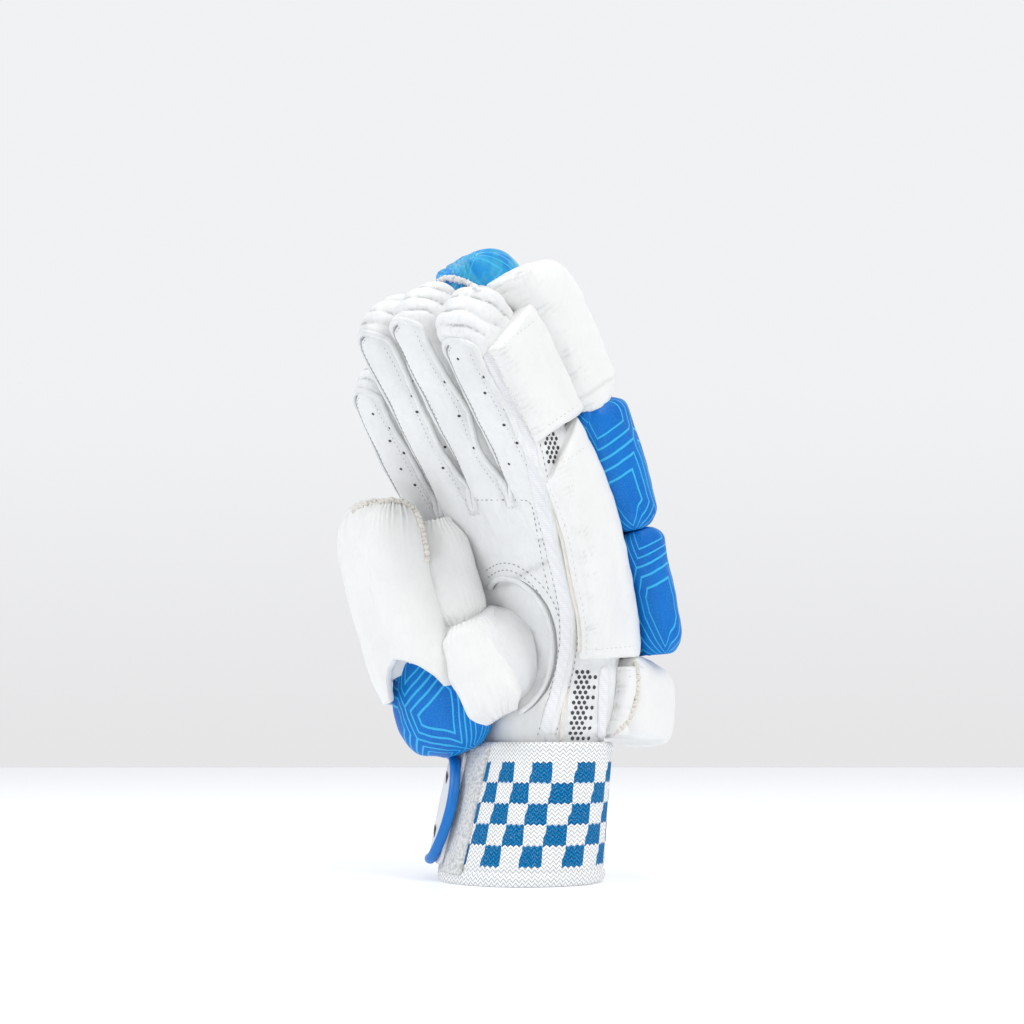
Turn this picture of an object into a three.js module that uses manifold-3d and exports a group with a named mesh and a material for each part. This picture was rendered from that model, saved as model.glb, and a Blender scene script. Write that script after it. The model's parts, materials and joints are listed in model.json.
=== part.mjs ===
// A left-hand cricket batting glove, standing on its knitted cuff with the fingers curled as round a bat handle.
// Millimetres. +Z is up, the palm faces -Y, the back of the hand +Y, and the thumb is on the -X side.
import * as THREE from "three";
import { mergeVertices } from "three/addons/utils/BufferGeometryUtils.js";
import Module from "manifold-3d";

const wasm = await Module();
wasm.setup();

// Clearances and walls
const GAP = 0.3; // between pieces that touch
const SEAT = 0.25; // more, under the padded rolls, whose facets differ from the hand's
const LEATHER = 1.8; // palm, thumb and back of the hand
const KNIT = 3; // cuff
const BAND = 1.6; // wrist strap
const LOOPS = 1.2; // fuzzy patch that the strap grips

// Cuff: a round mouth below, an oval wrist above
const CUFF_HEIGHT = 57.6;
const CUFF_LAP = 4; // how far the cuff covers the foot of the hand
const MOUTH_WIDTH = 71;
const MOUTH_DEPTH = 69;
const WRIST_WIDTH = 73;
const WRIST_DEPTH = 53;
const WRIST_SIDE = 2; // the wrist's centre, to the side of the mouth's
const WRIST_BACK = 8; // and behind it

// Hand
const REACH = 188; // height of the spine from the foot of the hand to the longest fingertip
const CURL = 79; // measure of how far the fingers curl forward
const PALM_LENGTH = 118; // along the spine, from the foot of the hand to the webs of the fingers
const PALM_WIDTH = 98;
const PALM_DEPTH = 34;
const SEAM_FORWARD = 12.5; // how far in front of the spine the palm's leather ends, on the palm
const FINGER_SEAM_FORWARD = 10; // and on the fingers

// Fingers
const FINGER_LENGTH = 93; // the longest, from the webs
const FINGER_PITCH = 24.5;
const FINGER_WIDTH = 23.5;
const FINGER_FRONT = 17; // from the spine to the palm side
const FINGER_BACK = 17; // and to the rolls' seat
const FINGER_ROOT = 22; // how far a finger's tube starts inside the palm
const TIP_ROUND = 13; // length of a fingertip's round end

// Padding on the back, with crowns measured from the spine
const PAD_SPLIT = 0.7; // between two rolls of a row, and between rows
const PAD_CROWN = 46; // height over the knuckles
const OUTER_OVERHANG = 8; // how far the outer column reaches beyond the little finger's side
const WRIST_PAD_WIDTH = 92;
const WRIST_PAD_FROM = 0.06; // share of PALM_LENGTH
const ROLL_LIFT = 0.2; // share of its height by which a roll's ends curl up from their seat
const PAD_SQUARE = 0.3; // share of a roll's height that stands straight before it rounds over
const FINGER_SWELL = 12; // length over which a roll rounds off at its ends, on the fingers
const BACK_SWELL = 7; // and on the back of the hand

// Side protection beyond the little finger
const SIDE_PROUD = 5; // how far it stands out from the hand
const SIDE_THICK = 12; // before the hand is cut from it

// Thumb
const THUMB_WIDTH = 27;
const THUMB_DEPTH = 26;
const THUMB_LEAN = 5; // degrees from -Y towards -X in which the thumb's nail faces
const SHELL_WIDTH = 44;
const SHELL_DEPTH = 40;
const SHELL_WRAP = 8; // how far it reaches round past its own middle
const NOTCH_WIDTH = 28;
const NOTCH_HEIGHT = 15;
const NOTCH_SIDE = 9; // from the shell's middle towards the palm
const GUARD_WIDTH = 46;
const GUARD_THICK = 20;
const GUARD_LEAN = -22;
const INNER_PAD_WIDTH = 34;
const INNER_PAD_THICK = 18;

// Strap and its moulded tab
const STRAP_WIDTH = 46;
const STRAP_FOOT = 7; // height of its lower edge
const TAB_HEIGHT = 46;
const TAB_LENGTH = 44;
const TAB_ANGLE = 258; // degrees round from +X to the tab's front edge
const PATCH_FROM = 153; // the loop patch's ends
const PATCH_TO = 270;
const STRAP_SEWN = 63; // where the strap is sewn to the cuff, behind
const TAB_THICK = 2.2;
const TAB_RIM = 3.6;
const TAB_RIM_THICK = 4.4;

// Facets
const HAND_SIDES = 20;
const FINGER_SIDES = 12;
const PAD_SIDES = 10;
const CUFF_SIDES = 36;
const CAP_ANGLES = [30, 60]; // degrees of the rings that round an end

// The hand's spine, in the plane X = 0: up is a share of REACH, back a share of CURL
const SPINE = [
  { up: -0.06, back: 0.101 },
  { up: 0, back: 0.101 },
  { up: 0.05, back: 0.105 },
  { up: 0.133, back: 0.145 },
  { up: 0.266, back: 0.127 },
  { up: 0.399, back: 0.013 },
  { up: 0.505, back: -0.089 },
  { up: 0.596, back: -0.203 },
  { up: 0.718, back: -0.39 },
  { up: 0.83, back: -0.57 },
  { up: 0.947, back: -0.785 },
  { up: 1, back: -0.89 },
  { up: 1.06, back: -1.015 },
];

// The palm's sections: along is a share of PALM_LENGTH, wide of PALM_WIDTH, deep of PALM_DEPTH, and square is the power
// of the oval. Its foot fits the cuff.
const PALM_SECTIONS = [
  { along: 0.09, wide: 0.76, deep: 1.42, square: 2.1 },
  { along: 0.22, wide: 0.81, deep: 1.18, square: 2.3 },
  { along: 0.42, wide: 0.89, deep: 1.03, square: 2.7 },
  { along: 0.62, wide: 0.96, deep: 0.98, square: 3 },
  { along: 0.84, wide: 1, deep: 0.9, square: 3.2 },
  { along: 0.99, wide: 0.995, deep: 0.78, square: 3.2 },
  { along: 1.05, wide: 0.97, deep: 0.58, square: 3.2 },
  { along: 1.08, wide: 0.93, deep: 0.3, square: 3.2 },
];

// A finger's tube: along is a share of its straight length, wide of FINGER_WIDTH, front of FINGER_FRONT and back of
// FINGER_BACK. The last rows are the folds that the leather makes over the bent fingertip.
const FINGER_SECTIONS = [
  { along: 0, wide: 0.9, front: 0.9, back: 0.84 },
  { along: 0.3, wide: 1, front: 1, back: 0.9 },
  { along: 0.78, wide: 0.99, front: 1, back: 1 },
  { along: 0.85, wide: 0.94, front: 0.92, back: 1, fold: true },
  { along: 0.92, wide: 0.98, front: 1, back: 1, fold: true },
  { along: 1, wide: 0.92, front: 0.84, back: 0.98 },
];

// place is the finger's place across the palm in pitches, reach its share of FINGER_LENGTH, and panel the share of the
// finger at which its palm leather ends. rolls are the ends of its padded rolls, as shares of the finger, and crown is
// their height's share of PAD_CROWN.
const FINGERS = [
  { name: "index", place: -1.5, reach: 0.75, panel: 0.94, crown: 0.9, rolls: [0.04, 0.36, 0.66, 0.92] },
  { name: "middle", place: -0.5, reach: 1, panel: 0.98, crown: 0.98, rolls: [0.04, 0.36, 0.66, 0.92] },
  { name: "ring", place: 0.5, reach: 1, panel: 1, crown: 1.14, rolls: [0.04, 0.36, 0.66, 0.97] },
  { name: "little", place: 1.5, reach: 0.92, panel: 0.97, crown: 1, rolls: [0.08, 0.22, 0.98] },
];

// Height of a column of rolls: along is a share of PALM_LENGTH, crown of PAD_CROWN
const CROWNS = [
  { along: 0.15, crown: 1.1 },
  { along: 0.28, crown: 1.03 },
  { along: 0.33, crown: 0.8 },
  { along: 0.72, crown: 0.9 },
  { along: 1, crown: 1 },
  { along: 1.25, crown: 1.08 },
  { along: 1.5, crown: 1.1 },
  { along: 1.8, crown: 1 },
];

// Padding on the little finger's side of the hand: from and to are shares of PALM_LENGTH, low and high of PALM_DEPTH
// from the spine, and slant is how much sooner, as a share of PALM_DEPTH, its palm edge ends than its back edge
const SIDE_PADS = [
  { name: "wrist_wing", from: 0.07, to: 0.3, low: 0.2, high: 0.62, slant: 0 },
  { name: "side_panel", from: 0.33, to: 1.09, low: -0.38, high: 0.5, slant: 0.24 },
  { name: "little_side_guard", from: 1.16, to: 1.55, low: -0.28, high: 0.66, slant: 0.1 },
];

// Rows of rolls on the back of the hand, as shares of PALM_LENGTH
const BACK_ROWS = [
  { name: "lower", from: 0.33, to: 0.73 },
  { name: "upper", from: 0.73, to: 1.13 },
];

// The thumb's centre line from its root in the palm to its tip. Shares: side of PALM_WIDTH, out of PALM_DEPTH,
// up of PALM_LENGTH above the foot of the hand.
const THUMB_LINE = [
  { side: -0.0, out: 0.1, up: 0.35 },
  { side: -0.1, out: -0.38, up: 0.33 },
  { side: -0.2, out: -0.8, up: 0.385 },
  { side: -0.28, out: -1.08, up: 0.52 },
  { side: -0.32, out: -1.24, up: 0.68 },
  { side: -0.325, out: -1.28, up: 0.84 },
  { side: -0.31, out: -1.28, up: 0.92 },
];

// The thumb's sections: along is a share of its line, wide of THUMB_WIDTH, deep of THUMB_DEPTH
const THUMB_SECTIONS = [
  { along: 0, wide: 2.4, deep: 2.1 },
  { along: 0.14, wide: 2.3, deep: 2 },
  { along: 0.28, wide: 1.7, deep: 1.6 },
  { along: 0.42, wide: 1.2, deep: 1.15 },
  { along: 0.58, wide: 1.02, deep: 1.02 },
  { along: 0.86, wide: 0.96, deep: 0.96 },
];

// The thumb's shell, from its lower edge up, in the thumb line's shares, with wide and deep as shares of its sizes
const SHELL_SECTIONS = [
  { side: -0.215, out: -1.04, up: 0.22, wide: 0.88, deep: 0.88 },
  { side: -0.24, out: -1.09, up: 0.3, wide: 0.94, deep: 0.96 },
  { side: -0.3, out: -1.2, up: 0.5, wide: 1, deep: 1 },
  { side: -0.335, out: -1.38, up: 0.73, wide: 1, deep: 1 },
  { side: -0.335, out: -1.4, up: 0.83, wide: 0.94, deep: 0.95 },
  { side: -0.33, out: -1.38, up: 0.9, wide: 0.66, deep: 0.72 },
];

// Its two lobes, with a groove between: side and wide are shares of SHELL_WIDTH, deep of SHELL_DEPTH
const SHELL_LOBES = [
  { side: 0.13, wide: 0.74, deep: 1 },
  { side: -0.22, wide: 0.56, deep: 0.94 },
];

// The guard below the shell, from its foot up
const GUARD_SECTIONS = [
  { side: -0.13, out: -0.62, up: 0.01, wide: 0.6, deep: 0.5 },
  { side: -0.14, out: -0.72, up: 0.055, wide: 0.88, deep: 0.84 },
  { side: -0.17, out: -0.85, up: 0.125, wide: 1, deep: 1 },
  { side: -0.2, out: -0.95, up: 0.2, wide: 0.92, deep: 1 },
  { side: -0.24, out: -1.07, up: 0.3, wide: 0.6, deep: 0.8 },
  { side: -0.26, out: -1.12, up: 0.35, wide: 0.3, deep: 0.5 },
];

// Padding on the thumb's inner side, each from its foot up; lean is the direction that it faces, as THUMB_LEAN
const INNER_PADS = [
  {
    name: "thumb_inner_pad_lower",
    lean: -40,
    sections: [
      { side: 0.11, out: -0.57, up: 0.125, wide: 0.5, deep: 0.6 },
      { side: 0.09, out: -0.63, up: 0.17, wide: 0.86, deep: 0.9 },
      { side: 0.04, out: -0.72, up: 0.28, wide: 1, deep: 1 },
      { side: 0.0, out: -0.76, up: 0.4, wide: 0.9, deep: 0.9 },
      { side: -0.02, out: -0.78, up: 0.44, wide: 0.6, deep: 0.6 },
    ],
  },
  {
    name: "thumb_inner_pad_upper",
    lean: -50,
    sections: [
      { side: -0.07, out: -0.78, up: 0.44, wide: 0.5, deep: 0.5 },
      { side: -0.09, out: -0.8, up: 0.49, wide: 0.74, deep: 0.9 },
      { side: -0.14, out: -0.86, up: 0.62, wide: 0.78, deep: 1 },
      { side: -0.19, out: -0.9, up: 0.76, wide: 0.7, deep: 0.9 },
      { side: -0.21, out: -0.92, up: 0.83, wide: 0.4, deep: 0.6 },
    ],
  },
];

const radians = THREE.MathUtils.degToRad;
const { lerp, clamp } = THREE.MathUtils;
const vector = (x, y, z) => new THREE.Vector3(x, y, z);
const ACROSS = vector(1, 0, 0);
const BACKWARD = vector(0, 1, 0);
const mouthCentre = vector(0, 0, 0);
const wristCentre = vector(WRIST_SIDE, WRIST_BACK, CUFF_HEIGHT);

// Solids from rings of points

function solid(geometry) {
  const bare = geometry.index ? geometry.toNonIndexed() : geometry;
  const open = new THREE.BufferGeometry().setAttribute("position", bare.getAttribute("position"));
  const merged = mergeVertices(open, 1e-3);
  return new wasm.Manifold(
    new wasm.Mesh({
      numProp: 3,
      vertProperties: merged.attributes.position.array,
      triVerts: new Uint32Array(merged.index.array),
    }),
  );
}

// A closed solid through rings that have as many points each, with a fan over each end.
function loft(rings) {
  const points = rings.flat();
  const sides = rings[0].length;
  const faces = [];
  for (let r = 0; r + 1 < rings.length; r++) {
    for (let i = 0; i < sides; i++) {
      const j = (i + 1) % sides;
      const [a, b, c, d] = [r * sides + i, r * sides + j, (r + 1) * sides + j, (r + 1) * sides + i];
      faces.push([a, b, c], [a, c, d]);
    }
  }
  for (const [first, turned] of [[0, true], [(rings.length - 1) * sides, false]]) {
    const centre = vector(0, 0, 0);
    for (let i = 0; i < sides; i++) {
      centre.addScaledVector(points[first + i], 1 / sides);
    }
    points.push(centre);
    for (let i = 0; i < sides; i++) {
      const [a, b] = [first + i, first + ((i + 1) % sides)];
      faces.push(turned ? [points.length - 1, b, a] : [points.length - 1, a, b]);
    }
  }
  let volume = 0;
  for (const [a, b, c] of faces) {
    volume += points[a].dot(points[b].clone().cross(points[c]));
  }
  const facing = volume < 0 ? faces.map(([a, b, c]) => [a, c, b]) : faces;
  return solid(new THREE.BufferGeometry().setFromPoints(facing.flat().map((i) => points[i])));
}

// One section: an oval with half sizes wide and deep, squarer as power grows past 2. under is its half depth below, and
// lean is how far its top is tipped out of its plane.
function ring({ centre, across, through, lean, wide, deep, under = deep, power, sides }) {
  const points = [];
  for (let i = 0; i < sides; i++) {
    const angle = ((i + 0.5) / sides) * 2 * Math.PI;
    const [c, s] = [Math.cos(angle), Math.sin(angle)];
    const x = Math.sign(c) * Math.abs(c) ** (2 / power) * wide;
    const y = Math.sign(s) * Math.abs(s) ** (2 / power) * (s > 0 ? deep : under);
    const point = centre.clone().addScaledVector(across, x).addScaledVector(through, y);
    points.push(point.addScaledVector(lean, y / deep));
  }
  return points;
}

// A curve with its length and its frames: through points to the back of the hand, or to the thumb's nail.
function route(points, level) {
  const curve = new THREE.CatmullRomCurve3(points, false, "centripetal");
  curve.arcLengthDivisions = 400;
  const length = curve.getLength();
  const frame = (along) => {
    const share = clamp(along / length, 0, 1);
    const tangent = curve.getTangentAt(share);
    const centre = curve.getPointAt(share).addScaledVector(tangent, along - share * length);
    const through = tangent.clone().cross(level).normalize();
    const across = through.clone().cross(tangent).normalize();
    return { centre, tangent, across, through };
  };
  const lengths = curve.getLengths(400);
  const alongPoint = (i) => lengths[Math.round((400 * i) / (points.length - 1))];
  return { length, frame, alongPoint };
}

// Rings along a route. Each station has its place in mm, its half sizes, and its offsets from the route.
function sweep(line, stations, { sides, power, grow = 0 }) {
  return loft(
    stations.map(({ along, wide, deep, under = deep, side = 0, rise = 0, slant = 0, square = power }) => {
      const { centre, tangent, across, through } = line.frame(along);
      const middle = centre.clone().addScaledVector(across, side).addScaledVector(through, rise);
      const lean = tangent.clone().multiplyScalar(slant);
      const sizes = { wide: wide + grow, deep: deep + grow, under: under + grow };
      return ring({ centre: middle, across, through, lean, ...sizes, power: square, sides });
    }),
  );
}

// More stations that round off the last one over the given length.
function rounded(last, length) {
  return CAP_ANGLES.map((angle) => ({
    ...last,
    along: last.along + length * Math.sin(radians(angle)),
    wide: last.wide * Math.cos(radians(angle)),
    deep: last.deep * Math.cos(radians(angle)),
    under: (last.under ?? last.deep) * Math.cos(radians(angle)),
  }));
}

// A value between the rows of a table.
function between(rows, along, key) {
  const next = rows.findIndex((row) => row.along >= along);
  if (next <= 0) {
    return (next === 0 ? rows[0] : rows.at(-1))[key];
  }
  const [a, b] = [rows[next - 1], rows[next]];
  return lerp(a[key], b[key], (along - a.along) / (b.along - a.along));
}

// Largest body of a form, without the crumbs that a cut leaves. A crumb that hangs on by a point comes off once the
// form is a mesh.
function whole(form) {
  const largest = (bodies) => bodies.reduce((best, body) => (body.volume() > best.volume() ? body : best));
  return largest(new wasm.Manifold(largest(form.decompose()).getMesh()).decompose());
}

// The hand and the fingers

const foot = CUFF_HEIGHT - CUFF_LAP;
const spineStart = WRIST_BACK - CURL * SPINE[1].back;
const spine = route(
  SPINE.map(({ up, back }) => vector(0, spineStart + CURL * back, foot + REACH * up)),
  ACROSS,
);
const spineFoot = alongAtHeight(foot);
const webs = spineFoot + PALM_LENGTH;

// The place on the spine at a height.
function alongAtHeight(height) {
  let [low, high] = [0, spine.length];
  for (let i = 0; i < 40; i++) {
    const middle = (low + high) / 2;
    if (spine.frame(middle).centre.z < height) {
      low = middle;
    } else {
      high = middle;
    }
  }
  return (low + high) / 2;
}

// The palm's stations. The hollow of the hand starts lower and ends a wall sooner.
function palmStations(grow = 0) {
  const inside = {
    along: spineFoot,
    wide: WRIST_WIDTH / 2 - KNIT - 2 * GAP,
    deep: WRIST_DEPTH / 2 - KNIT - 2 * GAP,
    side: WRIST_SIDE,
    square: 2,
  };
  const lip = { ...inside, along: spineFoot + CUFF_LAP + 4 * GAP };
  const sections = PALM_SECTIONS.map(({ along, wide, deep, square }, i) => ({
    along: spineFoot + PALM_LENGTH * along + (i > PALM_SECTIONS.length - 3 ? Math.min(0, grow) : 0),
    wide: (PALM_WIDTH / 2) * wide,
    deep: (PALM_DEPTH / 2) * deep,
    side: WRIST_SIDE * Math.max(0, 1 - 2 * along),
    square,
  }));
  const below = grow < 0 ? [{ ...inside, along: spineFoot - CUFF_LAP }] : [];
  return [...below, inside, lip, ...sections];
}

function fingerTip(finger) {
  return webs + FINGER_LENGTH * finger.reach;
}

function fingerStations(finger, grow = 0) {
  const start = webs - FINGER_ROOT;
  const length = fingerTip(finger) - TIP_ROUND - start;
  const rows = FINGER_SECTIONS.filter(({ fold }) => !fold || grow >= 0);
  const stations = rows.map(({ along, wide, front, back }) => ({
    along: start + length * along,
    wide: (FINGER_WIDTH / 2) * wide,
    deep: FINGER_BACK * back,
    under: FINGER_FRONT * front,
    side: finger.place * FINGER_PITCH,
  }));
  return [...stations, ...rounded(stations.at(-1), TIP_ROUND + Math.min(0, grow))];
}

function fingerTube(finger, grow) {
  return sweep(spine, fingerStations(finger, grow), { sides: FINGER_SIDES, power: 2.8, grow });
}

// The hand's form: grow is the clearance outside it, or minus a wall for its hollow.
function hand(grow) {
  const palm = sweep(spine, palmStations(grow), { sides: HAND_SIDES, power: 2.7, grow });
  return FINGERS.reduce((form, finger) => form.add(fingerTube(finger, grow)), palm);
}

// Everything in front of the palm's seam, finger by finger. Past its panel a finger belongs to the back of the hand, so
// there the seam runs down to the palm side and the panel ends in a tongue.
function frontRegion(shift) {
  const [near, far] = [-6 * PALM_DEPTH, 4 * PALM_DEPTH];
  const seam = (along, forward) => {
    const { centre, through } = spine.frame(along);
    return centre.clone().addScaledVector(through, -forward - shift);
  };
  const lanes = FINGERS.map((finger, i) => {
    const tip = fingerTip(finger);
    const outline = [];
    for (let along = 0; along < webs - FINGER_ROOT / 2; along += PALM_LENGTH / 12) {
      outline.push(seam(along, SEAM_FORWARD));
    }
    outline.push(seam(webs, FINGER_SEAM_FORWARD));
    outline.push(seam(lerp(webs, tip, finger.panel - 0.12), FINGER_SEAM_FORWARD));
    outline.push(seam(lerp(webs, tip, finger.panel), FINGER_FRONT * 1.5));
    const shape = new THREE.Shape([
      new THREE.Vector2(outline[0].y, -PALM_DEPTH),
      ...outline.map((p) => new THREE.Vector2(p.y, p.z)),
      new THREE.Vector2(near, outline.at(-1).z),
      new THREE.Vector2(near, -PALM_DEPTH),
    ]);
    const left = i === 0 ? near : FINGER_PITCH * (finger.place - 0.5) - GAP;
    const right = i === FINGERS.length - 1 ? far : FINGER_PITCH * (finger.place + 0.5) + GAP;
    const lane = new THREE.ExtrudeGeometry(shape, { depth: right - left, bevelEnabled: false });
    const turned = new THREE.Matrix4().makeBasis(BACKWARD, vector(0, 0, 1), ACROSS);
    return solid(lane.applyMatrix4(turned).translate(left, 0, 0));
  });
  return lanes.reduce((form, lane) => form.add(lane));
}

// The thumb

const facing = (lean) => vector(-Math.cos(radians(lean)), Math.sin(radians(lean)), 0);
const thumbPlace = ({ side, out, up }) =>
  vector(PALM_WIDTH * side, PALM_DEPTH * out, foot + PALM_LENGTH * up);
const thumbLine = route(THUMB_LINE.map(thumbPlace), facing(THUMB_LEAN));

function thumb(grow) {
  const stations = THUMB_SECTIONS.map(({ along, wide, deep }) => ({
    along: thumbLine.length * along,
    wide: (THUMB_WIDTH / 2) * wide,
    deep: (THUMB_DEPTH / 2) * deep,
  }));
  const tip = rounded(stations.at(-1), thumbLine.length * 0.12 + Math.min(0, grow));
  return sweep(thumbLine, [...stations, ...tip], { sides: 14, power: 2.2, grow });
}

// A padded form through sections that each hold their own place, with half sizes as shares of width and thickness.
function pillow(sections, lean, width, thickness, { sides, power, grow = 0, side = 0 }) {
  const line = route(sections.map(thumbPlace), facing(lean));
  const stations = sections.map(({ wide, deep }, i) => ({
    along: line.alongPoint(i),
    wide: (width / 2) * wide,
    deep: (thickness / 2) * deep,
    side,
  }));
  return sweep(line, stations, { sides, power, grow });
}

// The shell's full form over the thumb, before its hollow is cut.
function shellForm(grow) {
  const lobes = SHELL_LOBES.map(({ side, wide, deep }) =>
    pillow(SHELL_SECTIONS, THUMB_LEAN, SHELL_WIDTH * wide, SHELL_DEPTH * deep, {
      sides: 12,
      power: 2.4,
      grow,
      side: SHELL_WIDTH * side,
    }),
  );
  return lobes[0].add(lobes[1]);
}

// Everything behind the shell's middle, out to where it stops.
function behindShell(shift) {
  const far = SHELL_DEPTH * 2;
  const line = route(SHELL_SECTIONS.map(thumbPlace), facing(THUMB_LEAN));
  const stations = [-0.3, 0, 0.25, 0.5, 0.75, 1, 1.3].map((along) => ({
    along: line.length * along,
    wide: far,
    deep: far,
    rise: -SHELL_WRAP - far - shift,
  }));
  return sweep(line, stations, { sides: 4, power: 40 });
}

// The arch cut into the shell's lower edge.
function notch(grow) {
  const line = route(SHELL_SECTIONS.map(thumbPlace), facing(THUMB_LEAN));
  const { centre, tangent, across, through } = line.frame(0);
  const half = NOTCH_WIDTH / 2 - grow;
  const height = NOTCH_HEIGHT - grow;
  const shape = new THREE.Shape();
  shape.moveTo(-height, half);
  shape.quadraticCurveTo(height * 0.5, half * 0.7, height, half * 0.1);
  shape.lineTo(height, -half * 0.1);
  shape.quadraticCurveTo(height * 0.5, -half * 0.7, -height, -half);
  const prism = new THREE.ExtrudeGeometry(shape, { depth: SHELL_DEPTH, bevelEnabled: false, curveSegments: 4 });
  const place = new THREE.Matrix4()
    .makeBasis(tangent, across, through)
    .setPosition(centre.clone().addScaledVector(across, -NOTCH_SIDE));
  return solid(prism.applyMatrix4(place));
}

// Rolls on the back

// Stations of a padded roll with a flat seat: floor and crown give the body under it and its height from the spine.
function rollStations({ from, to, wide, side, floor, crown, swell }) {
  const bend = Math.min((to - from) * 0.45, swell);
  const places = [0, 0.22, 1].map((share) => from + bend * share);
  const middle = to - from > swell * 3 ? [(from + to) / 2] : [];
  const ends = [...places, ...middle, ...places.map((place) => from + to - place).reverse()];
  return ends.map((along) => {
    const edge = clamp(Math.min(along - from, to - along) / bend, 0, 1);
    const full = Math.sqrt(1 - (1 - edge) ** 2);
    const seat = floor(along);
    const fullHeight = crown(along) - seat;
    const height = fullHeight * lerp(0.34, 1, full);
    return {
      along,
      wide: (wide / 2) * lerp(0.88, 1, full),
      deep: height * (1 - PAD_SQUARE),
      under: height * PAD_SQUARE,
      side,
      rise: seat + height * PAD_SQUARE + fullHeight * lerp(ROLL_LIFT, 0, full),
    };
  });
}

function roll(sizes, grow = 0) {
  return sweep(spine, rollStations(sizes), { sides: PAD_SIDES, power: 2.6, grow });
}

// The back of the hand, measured from the spine, with the clearance for a roll that lies on it.
function backFloor(finger) {
  const palm = palmStations();
  const tube = fingerStations(finger);
  return (along) => {
    const overPalm = along < palm.at(-1).along ? between(palm, along, "deep") : 0;
    const overFinger = along > tube[0].along ? between(tube, along, "deep") : 0;
    return Math.max(overPalm, overFinger) + GAP + SEAT;
  };
}

// The cuff and what goes round it

// A point on the cuff's outside, or out from it by a distance: angle in radians from +X, height from the floor.
function cuffPoint(angle, height, out) {
  const share = height / CUFF_HEIGHT;
  const centre = mouthCentre.clone().lerp(wristCentre, share);
  const wide = lerp(MOUTH_WIDTH, WRIST_WIDTH, share) / 2 + out;
  const deep = lerp(MOUTH_DEPTH, WRIST_DEPTH, share) / 2 + out;
  return vector(centre.x + wide * Math.cos(angle), centre.y + deep * Math.sin(angle), height);
}

function cuffForm(from, to, out) {
  const angles = Array.from({ length: CUFF_SIDES }, (_, i) => (i / CUFF_SIDES) * 2 * Math.PI);
  const levels = [0, 0.5, 1].map((share) => lerp(from, to, share));
  return loft(levels.map((height) => angles.map((angle) => cuffPoint(angle, height, out))));
}

// A strip round the cuff between two angles in degrees. edges gives its lowest and highest point at a share of its way,
// offset how far it lies from the cuff there.
function strip({ from, to, offset, thick, edges }) {
  const steps = Math.round((Math.abs(to - from) / 360) * CUFF_SIDES);
  const rings = [];
  for (let i = 0; i <= steps; i++) {
    const share = i / steps;
    const angle = radians(lerp(from, to, share));
    const [low, high] = edges(share);
    const middle = (low + high) / 2;
    const inside = [low, middle, high].map((height) => cuffPoint(angle, height, offset(share)));
    const outside = [high, middle, low].map((height) => cuffPoint(angle, height, offset(share) + thick));
    rings.push([...inside, ...outside]);
  }
  return loft(rings);
}

// Pieces

const colours = { white: 0xf1f1ee, knit: 0xf4f4f2, blue: 0x1273cf, rubber: 0x2a66d9 };
const glove = new THREE.Group();
glove.name = "batting_glove";

function addPiece(name, form, colour, roughness) {
  const { numProp, numVert, vertProperties, triVerts } = whole(form).getMesh();
  const points = new Float32Array(numVert * 3);
  for (let i = 0; i < numVert; i++) {
    points.set(vertProperties.subarray(i * numProp, i * numProp + 3), i * 3);
  }
  const geometry = new THREE.BufferGeometry()
    .setAttribute("position", new THREE.BufferAttribute(points, 3))
    .setIndex(new THREE.BufferAttribute(new Uint32Array(triVerts), 1));
  geometry.computeVertexNormals();
  const material = new THREE.MeshStandardMaterial({ color: colour, roughness, metalness: 0 });
  const mesh = new THREE.Mesh(geometry, material);
  mesh.name = name;
  glove.add(mesh);
}

// Cuff, loop patch, strap and tab
const cuffTop = CUFF_HEIGHT;
const cuff = cuffForm(0, cuffTop, 0).subtract(cuffForm(-KNIT, cuffTop + KNIT, -KNIT));
addPiece("cuff", cuff, colours.knit, 0.95);

const step = 360 / CUFF_SIDES;
const snapped = (angle) => Math.round(angle / step) * step; // to the cuff's facets, so that what lies on it fits them
const strapTop = STRAP_FOOT + STRAP_WIDTH;
const loopPatch = strip({
  from: snapped(PATCH_TO),
  to: snapped(PATCH_FROM),
  offset: () => GAP,
  thick: LOOPS,
  edges: () => [STRAP_FOOT - 3, strapTop + 3],
});
addPiece("loop_patch", loopPatch, colours.white, 1);

// The strap lies over the patch and comes down to the cuff behind it.
const overPatch = GAP + LOOPS + GAP;
const strapFront = snapped(TAB_ANGLE) - step;
const strapSewn = snapped(STRAP_SEWN);
const pastPatch = (strapFront - snapped(PATCH_FROM - step)) / (strapFront - strapSewn);
const strap = strip({
  from: strapFront,
  to: strapSewn,
  offset: (share) => lerp(overPatch, GAP, clamp((share - pastPatch) * 6, 0, 1)),
  thick: BAND,
  edges: () => [STRAP_FOOT, strapTop],
});
addPiece("wrist_strap", strap, colours.white, 0.7);

// The tab's plate is a D: straight behind, with a round front edge.
const overStrap = overPatch + BAND + GAP;
const tabMiddle = STRAP_FOOT + STRAP_WIDTH / 2;
const tabTurn = TAB_LENGTH / (Math.PI * MOUTH_WIDTH) * 360;
function tabForm(inset, offset, thick) {
  const bow = 0.3; // share of the tab's length that its round front takes
  const half = (share) => {
    const front = Math.min(1, share / bow);
    return (TAB_HEIGHT / 2 - inset) * Math.sqrt(Math.max(0.12, 1 - (1 - front) ** 2));
  };
  const turn = (inset / TAB_LENGTH) * tabTurn;
  return strip({
    from: TAB_ANGLE - turn,
    to: TAB_ANGLE - snapped(tabTurn) + turn,
    offset: () => offset,
    thick,
    edges: (share) => [tabMiddle - half(share), tabMiddle + half(share)],
  });
}
const rim = tabForm(0, overStrap, TAB_RIM_THICK).subtract(tabForm(TAB_RIM, overStrap - 1, TAB_RIM_THICK + 2));
addPiece("strap_tab_rim", rim, colours.rubber, 0.35);
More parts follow.
